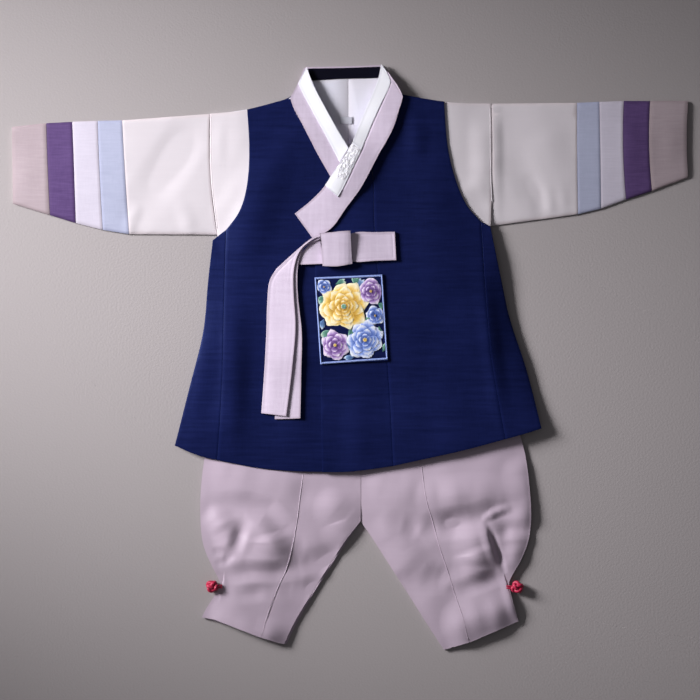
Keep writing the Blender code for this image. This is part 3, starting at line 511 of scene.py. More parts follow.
def clothCopy(node, rounds):
    # a copy of the solid with its points merged and its grid back in quads, then made smooth
    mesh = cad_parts[node].data.copy()
    mesh.materials.clear()
    piece = addObject(pieceName(node), mesh)
    chooseOnly(piece)
    if mesh.has_custom_normals:
        bpy.ops.mesh.customdata_custom_splitnormals_clear()
    data = bmesh.new()
    data.from_mesh(mesh)
    bmesh.ops.remove_doubles(data, verts=data.verts, dist=0.01 * mm)
    bmesh.ops.join_triangles(
        data, faces=data.faces, angle_face_threshold=math.radians(40), angle_shape_threshold=math.pi,
    )
    crease = data.edges.layers.float.get("crease_edge") or data.edges.layers.float.new("crease_edge")
    for edge in data.edges:
        run = edge.verts[0].co - edge.verts[1].co
        upright = abs(run.z) > 0.5 * run.length
        if len(edge.link_faces) == 2 and edge.calc_face_angle(0) > math.radians(25 if upright else 50):
            edge[crease] = 1.0
    data.to_mesh(mesh)
    data.free()
    useModifier(piece, "SUBSURF", levels=rounds, render_levels=rounds)
    return piece


def rimTree(piece):
    # spots along the cut edge of a piece
    data = bmesh.new()
    data.from_mesh(piece.data)
    spots = []
    for edge in data.edges:
        if len(edge.link_faces) == 2 and edge.calc_face_angle(0) > math.radians(40):
            first, second = (corner.co for corner in edge.verts)
            count = int((first - second).length / mm) + 1
            spots += [first.lerp(second, index / count) for index in range(count + 1)]
    tree = KDTree(max(len(spots), 1))
    for index, spot in enumerate(spots):
        tree.insert(spot, index)
    tree.balance()
    data.free()
    return tree


def rimDistance(piece, tree=None):
    # how far each point lies from the cut edge, its own or another piece's, in millimetres
    tree = tree or rimTree(piece)
    return np.array([tree.find(point)[2] or 0 for point in pointsOf(piece)]) / mm


def spread(piece, reach):
    # the heights of a piece with its steps spread over this many millimetres, top and underside apart
    points, cellSize = pointsOf(piece), 1.5
    top = normalsOf(piece)[:, 2] > 0
    weights = np.exp(-0.5 * (np.arange(-3 * reach, 3 * reach + 1, cellSize) / reach) ** 2)
    found = points[:, 2].copy()
    for side in (top, ~top):
        plan = points[side, :2] / mm / cellSize
        plan = plan - plan.min(0) + 1
        near = np.round(plan).astype(int)
        total, count = np.zeros((2, *(near.max(0) + 3)))
        np.add.at(total, tuple(near.T), points[side, 2])
        np.add.at(count, tuple(near.T), 1)
        for axis in (0, 1):
            blurred = [np.apply_along_axis(np.convolve, axis, grid, weights, "same") for grid in (total, count)]
            total, count = blurred
        level = total / np.maximum(count, 1e-9)
        low = np.floor(plan).astype(int)
        across, down = (plan - low).T
        x, y = low.T
        found[side] = ((level[x, y] * (1 - across) + level[x + 1, y] * across) * (1 - down)
                       + (level[x, y + 1] * (1 - across) + level[x + 1, y + 1] * across) * down)
    return found


def markRim(piece, width):
    # a colour weight that is full at the cut edge and gone a little way in
    layer = piece.data.attributes.new("rim", "FLOAT", "POINT")
    layer.data.foreach_set("value", ease(1 - rimDistance(piece) / width).astype(np.float32))


def roundRims(piece, width):
    useModifier(piece, "BEVEL", width=width * mm, segments=2, limit_method="ANGLE",
                angle_limit=math.radians(50), loop_slide=False)
    piece.data.shade_smooth()


# What each dressed piece is: (node, finish, smoothing rounds, what it rests on).
clothPieces = (
    ("vest_back_right", "navySilk", 2, ()),
    ("vest_back_left", "navySilk", 2, ()),
    ("jacket_back_right", "liningSilk", 2, ("vestBackRight",)),
    ("jacket_back_left", "liningSilk", 2, ("vestBackLeft",)),
    ("neck_label", "labelTape", 3, ("jacketBackRight",)),
    ("neck_facing", "navyLining", 3, ("collarBack",)),
    ("collar_back", "lilacSilk", 3, ()),
    ("jacket_front_right", "ivorySatin", 2, ("jacketBackRight",)),
    ("jacket_front_left", "ivorySatin", 2, ("jacketBackLeft",)),
    ("vest_front_right", "navySilk", 2, ("jacketFrontRight",)),
    ("vest_gore_right", "navySilk", 2, ("vestBackRight",)),
    ("collar_under", "lilacSilk", 3, ("vestFrontRight",)),
    ("strip_under", "whiteSilk", 3, ("collarUnder",)),
    ("vest_overlap", "navySilk", 3, ("vestFrontRight",)),
    ("vest_front_left", "navySilk", 2, ("jacketFrontLeft",)),
    ("vest_gore_left", "navySilk", 2, ("vestBackLeft",)),
    ("collar_over", "lilacSilk", 3, ("vestOverlap", "vestFrontLeft")),
    ("strip_over", "whiteSilk", 3, ("collarOver",)),
    ("strip_end", "whiteSilk", 3, ("collarOver",)),
    ("patch_ground", "navySilk", 3, ("vestOverlap",)),
    ("tie_inner", "lilacSilk", 3, ("vestFrontRight",)),
    ("tie_tail_under", "lilacSilk", 2, ("vestFrontRight",)),
    ("tie_tail_upper", "lilacSilk", 3, ("tieTailUnder",)),
    ("tie_loop", "lilacSilk", 3, ("vestOverlap",)),
    ("tie_knot", "lilacSilk", 3, ("tieLoop",)),
    ("waistband_back", "mauveSatin", 1, ()),
    ("waistband_front", "mauveSatin", 1, ("waistbandBack",)),
    ("trousers_back_right", "mauveSatin", 2, ()),
    ("trousers_back_left", "mauveSatin", 2, ()),
    ("trousers_front_outer_right", "mauveSatin", 3, ("trousersBackRight",)),
    ("trousers_front_inner_right", "mauveSatin", 3, ("trousersBackRight",)),
    ("trousers_front_outer_left", "mauveSatin", 3, ("trousersBackLeft",)),
    ("trousers_front_inner_left", "mauveSatin", 3, ("trousersBackLeft",)),
)
sleeveBands = (
    ("upper", "ivorySatin"), ("blue", "paleBlueSilk"), ("lilac", "paleLilacSilk"), ("purple", "purpleSilk"),
    ("cuff", "taupeSilk"),
)
sheetSizes = {
    "sleeveWall": 1.4, "legWall": 1.4, "rimRound": 0.35, "legFloor": 1.7, "rimWidth": 3.0,
    "puckerDepth": 0.22, "puckerSize": 7.0, "puckerReach": 4.0, "legPucker": 0.4,
    "hemGroove": 0.22, "hemGrooveWidth": 0.6, "hemRise": 0.12,
    "lapReach": 2.5, "lapRise": 0.35, "lapShift": (-0.34, -0.72),
}
undeclared = ("neck_label",)  # too small; left out of declareSheet
hemLines = {
    "tie_inner": 3.0, "tie_tail_under": 3.0, "tie_tail_upper": 3.0, "tie_loop": 3.0,
    "collar_over": 1.6, "collar_under": 1.6, "strip_over": 1.0, "strip_under": 1.0, "strip_end": 1.0,
}


# How single pieces stand, in millimetres. collarInner and stripOuter are edges as (y, x), knotLevel is
# (x, height), and legHems are the ends of each leg's hem.
collarInner = (
    (165, -17), (172.5, -13), (184, -6.5), (200, 1), (224.5, 12.8), (259, 27), (277.5, 35.5), (297, 44),
    (309.5, 39),
)
knotLevel = ((-33, 22.3), (-24, 22.7), (-12, 22.8), (-6, 22.6), (-2, 22.1), (3, 20.9))
stripOuter = ((209.5, -11), (240, -27), (269, -43), (281, -49.5), (294.5, -56))
legHems = {"right": ((-157, -281), (-65, -310)), "left": ((104, -316), (179, -287))}
pieceLifts = {
    "collarRise": 0.10, "collarStep": 0.9, "stripRise": 0.11, "stripTilt": 0.05, "stripDrop": 0.7,
    "tailRise": 0.5, "creaseShare": 1.5, "hemLift": 6.0, "hemAcross": (-40, 190), "hemBelow": (-30, 75),
    "legHem": 3.5, "legHemReach": 34, "legHemEnds": 0.3, "legTop": -95, "legTopFade": 22, "legSpread": 8,
}
neckLine = {
    "left": -50, "right": 41, "fade": 5, "middle": -2, "top": 299.9, "slope": 0.035, "most": 3, "reach": 8,
}


def shapeCloth(piece, node):
    # the creases that cross this piece, the same ones on every layer of the same stack
    points = pointsOf(piece) / mm
    plan = points[:, :2]
    if node.startswith("trousers_front"):
        side = -1 if node.endswith("right") else 1
        creases = rightLegCreases if side < 0 else leftLegCreases
        back = made["trousers_back_" + ("right" if side < 0 else "left")][0]
        within = ease(rimDistance(piece, rimTree(back)) / 10)
        points[:, 2] += (spread(piece, pieceLifts["legSpread"]) / mm - points[:, 2]) * within
        shown = ease((pieceLifts["legTop"] - plan[:, 1]) / pieceLifts["legTopFade"])
        move = creaseHeights(plan, creases, side) + rumple(plan, 30, 0.5, side * 3.1)
        under = points[:, 2] - sheetSizes["legWall"] * (normalsOf(piece)[:, 2] > 0.3)
        move = np.maximum(move * shown, np.minimum(sheetSizes["legFloor"] - under, 0))
        start, end = np.array(legHems["right" if side < 0 else "left"], float)
        along = (end - start) / np.linalg.norm(end - start)
        share = (plan - start) @ along / np.linalg.norm(end - start)
        above = (plan - start) @ np.array((-along[1], along[0]))
        ends = ease(share / pieceLifts["legHemEnds"]) * ease((1 - share) / pieceLifts["legHemEnds"])
        move += pieceLifts["legHem"] * ease(1 - above / pieceLifts["legHemReach"]) * ends
    elif node.startswith("sleeve"):
        top = ease((points[:, 2] - sheetSizes["sleeveWall"]) / 1.6)
        move = creaseHeights(plan, jacketCreases, 0) + rumple(plan, 30, 0.25, 5.5)
        move = np.maximum(move, -1.2) * top
    elif node.split("_")[0] in ("vest", "jacket", "collar", "strip", "patch", "tie") and "back" not in node:
        move = creaseHeights(plan, vestCreases, 2) * pieceLifts["creaseShare"]
        move += creaseHeights(plan, jacketCreases, 0) + rumple(plan, 34, 0.30, 9.2)
        move = np.maximum(move, -1.0) * ease((points[:, 2] - 2.0) / 5.0)
    else:
        return
    points[:, 2] += move
    x, y = plan.T
    if node == "collar_over":
        inner = np.interp(y, *np.array(collarInner).T)
        points[:, 2] += pieceLifts["collarRise"] * np.clip(x - inner, 0, 22) * ease((y - 165) / 30)
        points[:, 2] += pieceLifts["collarStep"] * ease((x - inner) / 2.0 + 0.1) * ease((y - 172) / 14)
    elif node in ("strip_over", "strip_end"):
        inner = np.interp(y, *np.array(collarInner).T)
        points[:, 2] += pieceLifts["stripTilt"] * np.clip(inner - x, 0, 15) - pieceLifts["stripDrop"]
    elif node == "strip_under":
        points[:, 2] += pieceLifts["stripRise"] * np.clip(x - np.interp(y, *np.array(stripOuter).T), 0, 18)
    elif node.startswith(("vest_front_left", "vest_gore_left", "vest_overlap", "vest_front_right")):
        (left, across), (top, below) = pieceLifts["hemAcross"], pieceLifts["hemBelow"]
        points[:, 2] += pieceLifts["hemLift"] * ease((x - left) / across) * ease((top - y) / below)
    elif node == "tie_tail_upper":
        across = np.clip((x + 79 + (95 - y) * 0.1025) / 25, 0, 1)
        points[:, 2] += pieceLifts["tailRise"] * across * ease((100 - y) / 25)
    elif node == "tie_knot":
        top = ease((normalsOf(piece)[:, 2] + 0.3) / 0.6)
        points[:, 2] += top * (np.interp(x, *np.array(knotLevel).T) - points[:, 2])
    placePoints(piece, points * mm)


def straightNeck(piece):
    # the lining's top edge, straight below the facing
    points = pointsOf(piece) / mm
    x, y = points[:, :2].T
    slot = np.clip(np.round(x).astype(int) + 60, 0, 119)
    arc = np.full(120, -999.0)
    np.maximum.at(arc, slot, y)
    inside = ease((x - neckLine["left"]) / neckLine["fade"]) * ease((neckLine["right"] - x) / neckLine["fade"])
    line = neckLine["top"] + neckLine["slope"] * (x - neckLine["middle"])
    gain = np.clip(line - arc[slot], 0, neckLine["most"])
    points[:, 1] += gain * inside * ease(1 - (arc[slot] - y) / neckLine["reach"])
    placePoints(piece, points * mm)


def puckerSeams(piece, share):
    # the cloth is drawn up a little along its seams
    points = pointsOf(piece)
    near = np.exp(-((rimDistance(piece) / sheetSizes["puckerReach"]) ** 2)) * (normalsOf(piece)[:, 2] > 0.5)
    depth = sheetSizes["puckerDepth"] * share
    points[:, 2] += near * rumple(points[:, :2] / mm, sheetSizes["puckerSize"], depth, 4.4) * mm
    placePoints(piece, points)


def normalsOf(piece):
    flat = np.empty(len(piece.data.vertices) * 3, np.float32)
    piece.data.vertices.foreach_get("normal", flat)
    return flat.reshape(-1, 3)


def pressHem(piece, inset):
    # the turned edge shows as a fine groove inside the rim
    points = pointsOf(piece)
    gap = rimDistance(piece)
    top = normalsOf(piece)[:, 2] > 0.5
    groove = np.exp(-(((gap - inset) / sheetSizes["hemGrooveWidth"]) ** 2))
    points[:, 2] -= top * sheetSizes["hemGroove"] * mm * groove
    points[:, 2] += top * sheetSizes["hemRise"] * mm * ease(1 - gap / inset)
    placePoints(piece, points)


def lapOver(piece, other):
    # the edge next to the other piece laps over it, so that no gap shows between the two
    points = pointsOf(piece)
    beside = np.array([vertex.co[:2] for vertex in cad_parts[other].data.vertices])
    gap = np.linalg.norm(points[:, None, :2] - beside, axis=2).min(1) / mm
    near = ease(1.4 - gap / sheetSizes["lapReach"])
    points[:, :2] += near[:, None] * np.array(sheetSizes["lapShift"]) * mm
    points[:, 2] += near * sheetSizes["lapRise"] * mm
    placePoints(piece, points)


def declareSheet(node, restsOn, tube=False):
    # the cut of what shows: the piece's own box, twice as wide for a tube, and the area of its cloth
    low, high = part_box(node)
    width, length = high.x - low.x, high.y - low.y
    if tube:
        length = length * 2
    data = bmesh.new()
    data.from_mesh(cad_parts[node].data)
    area = sum(face.calc_area() for face in data.faces) / 2
    data.free()
    area = min(area, width * length)
    if area < 0.31 * width * length:
        width, length = leanBox(node)
    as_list(restsOn or ("floor",))


def leanBox(node):
    # width and length of the smallest box that turns with a slanting piece
    points = np.array([vertex.co[:2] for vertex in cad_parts[node].data.vertices])
    sizes = []
    for turn in range(0, 90, 2):
        angle = math.radians(turn)
        turned = points @ np.array(((math.cos(angle), -math.sin(angle)), (math.sin(angle), math.cos(angle))))
        sizes.append(tuple(np.ptp(turned, axis=0)))
    return min(sizes, key=lambda size: size[0] * size[1])


made = {}


def dressCloth():
    bands = tuple(
        (f"sleeve_{side}_{band}", finish, 3, ())
        for side in ("right", "left") for band, finish in sleeveBands
    )
    for node, finish, rounds, restsOn in clothPieces + bands:
        piece = clothCopy(node, rounds)
        if hemLines.get(node):
            pressHem(piece, hemLines[node])
        if node.startswith("jacket_back"):
            straightNeck(piece)
        if node == "strip_over":
            lapOver(piece, "strip_end")
        if node.split("_")[0] in ("vest", "sleeve", "jacket", "trousers"):
            puckerSeams(piece, sheetSizes["legPucker"] if node.startswith("trousers") else 1.0)
        shapeCloth(piece, node)
        roundRims(piece, sheetSizes["rimRound"])
        markRim(piece, sheetSizes["rimWidth"])
        piece.data.materials.append(finishOf(finish))
        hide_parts(node)
        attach(piece, "root")
        made[node] = (piece, restsOn)
    for node, (piece, restsOn) in made.items():
        if node not in undeclared:
            declareSheet(node, restsOn, node.startswith("sleeve"))
    print("cloth laid:", len(made))


# The patch's design is a plain one of garden blossoms. Places are shares of its width and height.
patchDesign = {
    "corners": ((-38.2, 85.8), (35.2, 89), (41, -3), (-32, -8)),
    "blossoms": (
        # across, down, radius in mm, turn, thread, rings of (petals, reach, width, lift)
        (0.400, 0.350, 25.5, 10, "yellowThread", (
            (8, 1.0, 0.84, 0.3), (7, 0.80, 0.70, 0.6), (6, 0.60, 0.56, 0.9), (5, 0.42, 0.44, 1.2),
            (4, 0.25, 0.32, 1.5),
        )),
        (0.680, 0.750, 20.0, 24, "blueThread", (
            (7, 1.0, 0.90, 0.3), (6, 0.78, 0.76, 0.6), (5, 0.55, 0.60, 0.9), (4, 0.33, 0.42, 1.2),
        )),
        (0.235, 0.790, 15.5, 40, "violetThread", (
            (6, 1.0, 0.96, 0.3), (5, 0.74, 0.82, 0.6), (4, 0.46, 0.56, 0.9),
        )),
        (0.810, 0.190, 13.5, 8, "violetThread", (
            (5, 1.0, 1.10, 0.3), (5, 0.72, 0.80, 0.6), (4, 0.44, 0.54, 0.9),
        )),
        (0.850, 0.475, 10.0, 30, "blueThread", ((5, 1.0, 1.06, 0.3), (4, 0.66, 0.84, 0.6))),
        (0.130, 0.115, 8.0, 50, "blueThread", ((5, 1.0, 1.06, 0.3), (4, 0.60, 0.80, 0.6))),
    ),
    "leaves": (
        # foot across, foot down, direction in degrees, length and width in mm, thread
        (0.62, 0.14, 100, 17, 11, "leafThread"), (0.60, 0.16, 60, 14, 9, "tealThread"),
        (0.90, 0.33, -30, 12, 9, "leafThread"), (0.74, 0.34, 200, 12, 8, "tealThread"),
        (0.66, 0.56, 30, 17, 10, "leafThread"), (0.46, 0.60, -70, 18, 11, "leafThread"),
        (0.44, 0.90, 10, 17, 10, "leafThread"), (0.22, 0.62, -150, 16, 11, "leafThread"),
        (0.12, 0.64, -100, 14, 9, "tealThread"), (0.40, 0.72, -60, 15, 9, "tealThread"),
        (0.90, 0.60, -85, 14, 9, "leafThread"), (0.16, 0.22, 215, 13, 9, "leafThread"),
        (0.30, 0.09, 20, 12, 8, "leafThread"), (0.10, 0.48, 250, 12, 9, "tealThread"),
        (0.52, 0.93, 200, 13, 8, "tealThread"), (0.93, 0.90, 60, 11, 8, "leafThread"),
    ),
    "dome": 0.55, "wall": 0.35, "keepIn": 2.3, "borderWidth": 2.2, "borderHeight": 0.80, "stitch": 0.75,
    "borderStep": 0.25, "borderLay": 25.5,
}
stripDesign = {
    "corners": ((2.4, 231), (12.8, 224.5), (-13, 172.5), (-27.2, 184.6)),
    # across and along as shares, radius in mm, turn
    "places": (
        (0.30, 0.10, 4.8, 12), (0.74, 0.20, 3.8, 44), (0.30, 0.33, 4.6, 80), (0.70, 0.42, 4.4, 30),
        (0.28, 0.55, 4.0, 10), (0.66, 0.64, 3.8, 60), (0.80, 0.05, 2.8, 20), (0.12, 0.22, 2.6, 50),
        (0.50, 0.23, 2.4, 70), (0.90, 0.31, 2.4, 5), (0.50, 0.45, 2.4, 25), (0.12, 0.44, 2.4, 0),
        (0.40, 0.68, 2.6, 15), (0.87, 0.54, 2.4, 35),
    ),
    "dome": 0.25, "wall": 0.15, "keepIn": 0.8,
}


def surfaceUnder(piece):
    # the height of a dressed piece's top, by a ray from above
    data = bmesh.new()
    data.from_mesh(piece.data)
    tree = BVHTree.FromBMesh(data)
    data.free()

    def height(x, y):
        hit = tree.ray_cast(Vector((x * mm, y * mm, 0.1)), Vector((0, 0, -1)))[0]
        return hit.z / mm if hit else None
    return height


class Embroidery:
    # petals and leaves gathered by thread, then made into one piece each
    def __init__(self, under, dome, wall, rows=9, columns=8):
        self.under, self.dome, self.wall, self.threads = under, dome, wall, {}
        self.rows, self.columns = rows, columns

    def petal(self, thread, foot, turn, length, width, lift, tones=(0.04, 1.0), rows=None, columns=None):
        rows, columns = rows or self.rows, columns or self.columns
        corners, faces, shades, lays = self.threads.setdefault(thread, ([], [], [], []))
        start = len(corners)
        angle = math.radians(turn)
        along, across = (math.cos(angle), math.sin(angle)), (-math.sin(angle), math.cos(angle))
        for row in range(rows + 1):
            u = 1 - (1 - row / rows) ** 1.6
            if u < 0.6:
                reach = 0.12 + 0.88 * ease(u / 0.6)
            else:
                reach = math.sqrt(max(1 - ((u - 0.6) / 0.4) ** 2, 0.0025))
            for column in range(columns + 1):
                v = 2 * column / columns - 1
                side = v * reach * width / 2
                out = length * (u - 0.10 * u * v * v + 0.055 * u * math.cos(8 * v + turn))
                x = foot[0] + along[0] * out + across[0] * side
                y = foot[1] + along[1] * out + across[1] * side
                base = self.under(x, y)
                while base is None:
                    x, y = x + (foot[0] - x) * 0.12, y + (foot[1] - y) * 0.12
                    base = self.under(x, y)
                rise = lift + self.dome * (1 - v**4) * math.sin(math.pi * (0.08 + 0.84 * u)) ** 0.6
                corners.append((x * mm, y * mm, (base + rise) * mm))
                pale = max(ease((u - 0.48) / 0.46), abs(v) ** 4 * (0.3 + 0.7 * u))
                shades.append(tones[0] + (tones[1] - tones[0]) * pale)
                lays.append((u, (v + 1) / 2 + start * 0.013))
        for row in range(rows):
            for column in range(columns):
                first = start + row * (columns + 1) + column
                faces.append((first, first + columns + 1, first + columns + 2, first + 1))

    def blossom(self, thread, middle, radius, rings, turn):
        for index, (count, reach, width, lift) in enumerate(rings):
            for number in range(count):
                at = turn + index * 23 + number * 360 / count + 7 * math.sin(number * 2.3 + index)
                size = radius * reach * (1 + 0.07 * math.sin(number * 1.9 + index * 1.3))
                foot = (middle[0] + 0.08 * size * math.cos(math.radians(at)),
                        middle[1] + 0.08 * size * math.sin(math.radians(at)))
                self.petal(thread, foot, at, size, radius * width, lift + 0.12 * (number % 2))

    def heart(self, thread, middle, radius, lift, count=7):
        for number in range(count):
            at = number * 360 / count
            self.petal(thread, middle, at, radius, radius * 0.8, lift, (0.4, 1.0), rows=5, columns=4)

    def sew(self, prefix):
        for thread, (corners, faces, tones, lays) in self.threads.items():
            mesh = bpy.data.meshes.new(prefix)
            mesh.from_pydata(corners, [], faces)
            piece = addObject(prefix + thread[0].upper() + thread[1:], mesh)
            markThreads(mesh, tones, lays)
            useModifier(piece, "SOLIDIFY", thickness=self.wall * mm, offset=-1)
            useModifier(piece, "SUBSURF", levels=1, render_levels=1)
            piece.data.shade_smooth()
            piece.data.materials.append(finishOf(thread))
            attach(piece, "root")


def inDesign(design, across, down):
    corners = [Vector(corner) for corner in design["corners"]]
    return corners[0].lerp(corners[1], across).lerp(corners[3].lerp(corners[2], across), down)


def drawnIn(design, inset):
    # the design's corners, clockwise from the top left, moved towards its middle
    corners = [Vector(corner) for corner in design["corners"]]
    middle = sum(corners, Vector((0, 0))) / 4
    return [corner.lerp(middle, inset * 1.42 / (corner - middle).length) for corner in corners]


def groundOf(node, design):
    # the height of a piece's top inside the design's edge, and nothing outside it
    height, corners = surfaceUnder(made[node][0]), drawnIn(design, design["keepIn"])

    def inside(x, y):
        spot = Vector((x, y))
        for first, second in zip(corners, corners[1:] + corners[:1]):
            if (second - first).cross(spot - first) > 0:
                return None
        return height(x, y)
    return inside


def tubeMesh(name, rings, closed, finish):
    # a piece from its rings of points, in millimetres
    sides, count = len(rings[0]), len(rings)
    faces = []
    for index in range(count if closed else count - 1):
        first, after = index * sides, (index + 1) % count * sides
        for number in range(sides):
            beside = (number + 1) % sides
            faces.append((first + number, first + beside, after + beside, after + number))
    if not closed:
        faces += [tuple(range(sides))[::-1], tuple(range((count - 1) * sides, count * sides))]
    mesh = bpy.data.meshes.new(name)
    corners = [tuple(float(value) * mm for value in corner) for ring in rings for corner in ring]
    mesh.from_pydata(corners, [], faces)
    piece = addObject(name, mesh)
    data = bmesh.new()
    data.from_mesh(mesh)
    bmesh.ops.recalc_face_normals(data, faces=data.faces)
    data.to_mesh(mesh)
    data.free()
    mesh.shade_smooth()
    mesh.materials.append(finishOf(finish))
    return piece


def sewBorder(under):
    # the patch's satin-stitched edge, its stitches lying across it and mitred at the corners, its tone painted
    # lighter on its crown and stitch crests and darker down its sides and at its foot, as painted highlight and
    # painted shade
    corners, inner = drawnIn(patchDesign, 0.1), drawnIn(patchDesign, patchDesign["borderWidth"])
    rings, tones, lays, passed = [], [], [], 0.0
    for side in range(4):
        ends = (corners[side], corners[(side + 1) % 4], inner[side], inner[(side + 1) % 4])
        length = (ends[1] - ends[0]).length
        steps = int(length / patchDesign["borderStep"])
        for step in range(steps):
            share = step / steps
            outside, inside = ends[0].lerp(ends[1], share), ends[2].lerp(ends[3], share)
            wave = math.cos(2 * math.pi * (passed + share * length) / patchDesign["stitch"])
            lay = (passed + share * length) / patchDesign["borderLay"]
            ring = []
            for number in range(9):
                w = number / 8
                spot = outside.lerp(inside, w)
                base = under(*spot) or under(*inside)
                dome = math.sqrt(max(1 - (2 * w - 1) ** 2, 0))
                ring.append((*spot, base + patchDesign["borderHeight"] * dome * (1 + 0.10 * wave)))
                # painted highlight on the crown and on each stitch's crest, painted shade down the sides
                tones.append(0.30 + 0.35 * dome + 0.22 * wave * dome)
                lays.append((w, lay))
            for spot in (inside, outside):
                ring.append((*spot, (under(*spot) or under(*inside)) - 0.05))
                # the border's foot at its darkest tone, as painted shade
                tones.append(0.2)
                lays.append((0.5, lay))
            rings.append(ring)
        passed += length
    piece = tubeMesh("patchBorder", rings, True, "borderThread")
    markThreads(piece.data, tones, lays)
    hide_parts("patch_border")
    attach(piece, "root")


def markThreads(mesh, tones, lays):
    layer = mesh.attributes.new("tone", "FLOAT", "POINT")
    layer.data.foreach_set("value", np.array(tones, np.float32))
    lay = mesh.uv_layers.new(name="thread")
    for loop in mesh.loops:
        lay.data[loop.index].uv = lays[loop.vertex_index]


def rollSeams():
    # the seams' pressed edges, lying on the cloth as slim rolls
    for index, (side, below, radius, out, finish, points) in enumerate(seamRolls):
        nodes = [node for node in made if node.startswith(below) and side in node]
        beneath = [surfaceUnder(made[node][0]) for node in nodes]
        route = smoothRoute(points, rollSpots)
        across = np.gradient(route, axis=0)[:, ::-1] * (1, -1)
        across /= np.linalg.norm(across, axis=1)[:, None]
        heights = []
        for spot, away in zip(route, across):
            beside = [spot + away * shift for shift in (-rollWidth, 0.0, rollWidth)]
            found = [height(*place) for height in beneath for place in beside]
            heights.append(max([value for value in found if value is not None] or heights[-1:] or [3.0]))
        heights = np.convolve(np.pad(heights, 2, "edge"), np.ones(5) / 5, "valid") + out - radius
        line = np.column_stack([route, heights])
        roll = sweepCord(f"seamRoll{index}", line, radius, False, rollSides, finish, 0)
        markRim(roll, 0.1)
        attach(roll, "root")
    print("seams rolled")


def embroider():
    sewBorder(surfaceUnder(made["patch_ground"][0]))
    work = Embroidery(groundOf("patch_ground", patchDesign), patchDesign["dome"], patchDesign["wall"])
    for across, down, turn, length, width, thread in patchDesign["leaves"]:
        foot = inDesign(patchDesign, across, down)
        for half in (-1, 1):
            lean = turn + half * 9
            work.petal(thread, foot, lean, length, width * 0.62, 0.15, (0.1, 0.85), rows=8, columns=5)
    for across, down, radius, turn, thread, rings in patchDesign["blossoms"]:
        middle = inDesign(patchDesign, across, down)
        work.blossom(thread, middle, radius, rings, turn)
        inner = "yellowThread" if thread != "yellowThread" else "leafThread"
        work.heart(inner, middle, radius * 0.13, rings[-1][3] + 0.7)
    work.sew("patch")
    white = Embroidery(groundOf("strip_end", stripDesign), stripDesign["dome"], stripDesign["wall"], 5, 4)
    for across, down, radius, turn in stripDesign["places"]:
        middle = inDesign(stripDesign, across, down)
        white.blossom("whiteThread", middle, radius, ((5, 1.0, 1.10, 0.05),), turn)
        white.heart("whiteThread", middle, radius * 0.26, 0.30, 5)
    white.sew("strip")
    print("patch and strip embroidered")


# Each ball knot is a three-strand braid closed on itself, lying with its stem to the leg.
knotLooks = {
    "right": {"middle": (-148.6, -247.3), "size": (6.8, 7.0, 5.5), "turn": 14,
              "loop": ((-138, -247.5, 5.4), (-140, -247.5, 5.6), (-142.5, -247.4, 5.7), (-144.5, -247.4, 5.8))},
    "left": {"middle": (180.4, -248.4), "size": (7.0, 7.2, 5.5), "turn": -20,
             "loop": ((168.5, -248.3, 5.2), (171, -248.3, 5.4), (174, -248.4, 5.6), (177, -248.4, 5.6))},
    "cord": 1.95, "bights": 4, "spots": 180, "level": 0.92, "swell": 0.30,
    "loopCord": 0.78, "loopSpread": 1.1, "loopTip": 0.9, "loopSpots": 26, "plyDepth": 0.10, "plyTurn": 7,
}


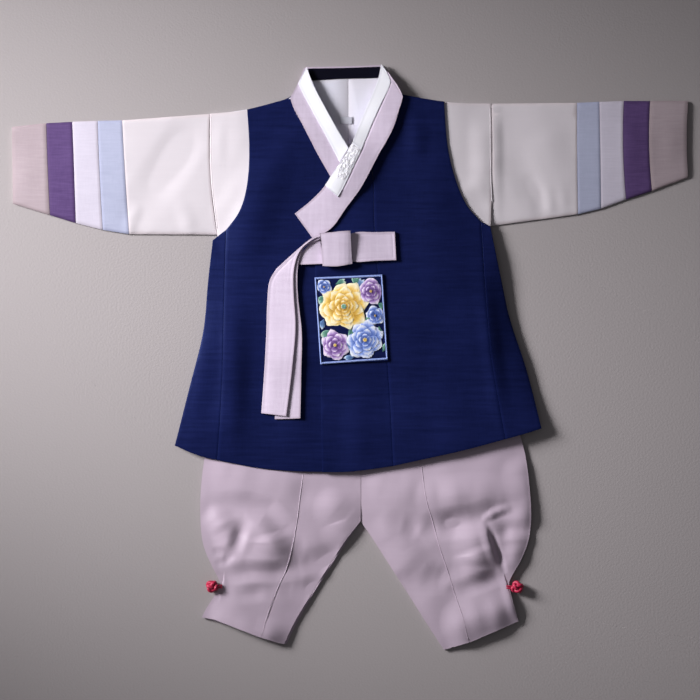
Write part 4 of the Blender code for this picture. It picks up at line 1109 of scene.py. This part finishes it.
def sweepCord(name, route, radius, closed=False, sides=18, finish="redCord", plies=3):
    # a tube along the route, with the spiral of its plies in it
    route = np.array(route, float)
    count = len(route)
    if closed:
        run = np.roll(route, -1, 0) - np.roll(route, 1, 0)
    else:
        run = np.gradient(route, axis=0)
    run /= np.linalg.norm(run, axis=1)[:, None]
    sideways = [np.cross(run[0], (0.1, 0.2, 1.0))]
    for tangent in run:
        last = sideways[-1] - tangent * (sideways[-1] @ tangent)
        sideways.append(last / np.linalg.norm(last))
    sideways = np.array(sideways[1:])
    upward = np.cross(run, sideways)
    twist = 0.0
    if closed:
        last = sideways[-1] - run[0] * (sideways[-1] @ run[0])
        twist = math.atan2(last @ upward[0], last @ sideways[0])
    length = np.concatenate([[0], np.cumsum(np.linalg.norm(np.diff(route, axis=0), axis=1))])
    turns = length[-1] / (radius * knotLooks["plyTurn"])
    turns = np.round(turns) if closed else turns
    rings = []
    for index in range(count):
        share = index / count if closed else length[index] / length[-1]
        ring = []
        for number in range(sides):
            angle = 2 * math.pi * number / sides
            ply = abs(math.cos(plies * angle + 2 * math.pi * turns * share)) if plies else 0.5
            size = radius * (1 - knotLooks["plyDepth"] / 2 + knotLooks["plyDepth"] * ply)
            angle -= twist * share
            away = math.cos(angle) * sideways[index] + math.sin(angle) * upward[index]
            ring.append(route[index] + size * away)
        rings.append(ring)
    return tubeMesh(name, rings, closed, finish)


def smoothRoute(points, count):
    # a Catmull curve through the points
    points = np.array(points, float)
    padded = np.vstack([2 * points[0] - points[1], points, 2 * points[-1] - points[-2]])
    found = []
    for share in np.linspace(0, len(points) - 1 - 1e-6, count):
        index, t = int(share), share - int(share)
        a, b, c, d = padded[index:index + 4]
        curve = (2 * a - 5 * b + 4 * c - d) * t**2 + (3 * b - a - 3 * c + d) * t**3
        found.append(0.5 * (2 * b + (c - a) * t + curve))
    return np.array(found)


def tieKnots():
    cord = knotLooks["cord"]
    for side in ("right", "left"):
        look = knotLooks[side]
        reach = [size - cord for size in look["size"]]
        tilt = math.radians(look["turn"])
        route = []
        for step in range(knotLooks["spots"]):
            t = 2 * math.pi * step / knotLooks["spots"]
            level = knotLooks["level"] * math.cos(knotLooks["bights"] * t)
            ring = math.sqrt(1 - level * level * 0.96)
            swell = 1 + knotLooks["swell"] * math.sin(2 * knotLooks["bights"] * t)
            place = (level * 0.98, ring * math.cos(3 * t), ring * math.sin(3 * t))
            x, y, z = (swell * value for value in place)
            x, y = x * math.cos(tilt) - y * math.sin(tilt), x * math.sin(tilt) + y * math.cos(tilt)
            route.append((x, y, z))
        route = np.array(route)
        route *= (np.array(reach) / np.abs(route).max(0))
        route += (*look["middle"], look["size"][2])
        piece = sweepCord("button" + side.capitalize(), route, cord, True)
        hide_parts(f"button_{side}")
        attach(piece, "root")
        spread = np.array((0, knotLooks["loopSpread"], 0))
        middle = smoothRoute(look["loop"], knotLooks["loopSpots"])
        tip = middle[-1] + (knotLooks["loopTip"] * (1 if side == "left" else -1), 0, 0)
        route = np.vstack([middle + spread, tip[None], (middle - spread)[::-1]])
        loop = sweepCord("buttonLoop" + side.capitalize(), route, knotLooks["loopCord"])
        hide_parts(f"button_loop_{side}")
        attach(loop, "root")
    print("knots tied")


setStage()
print("stage set")
dressCloth()
rollSeams()
embroider()
tieKnots()
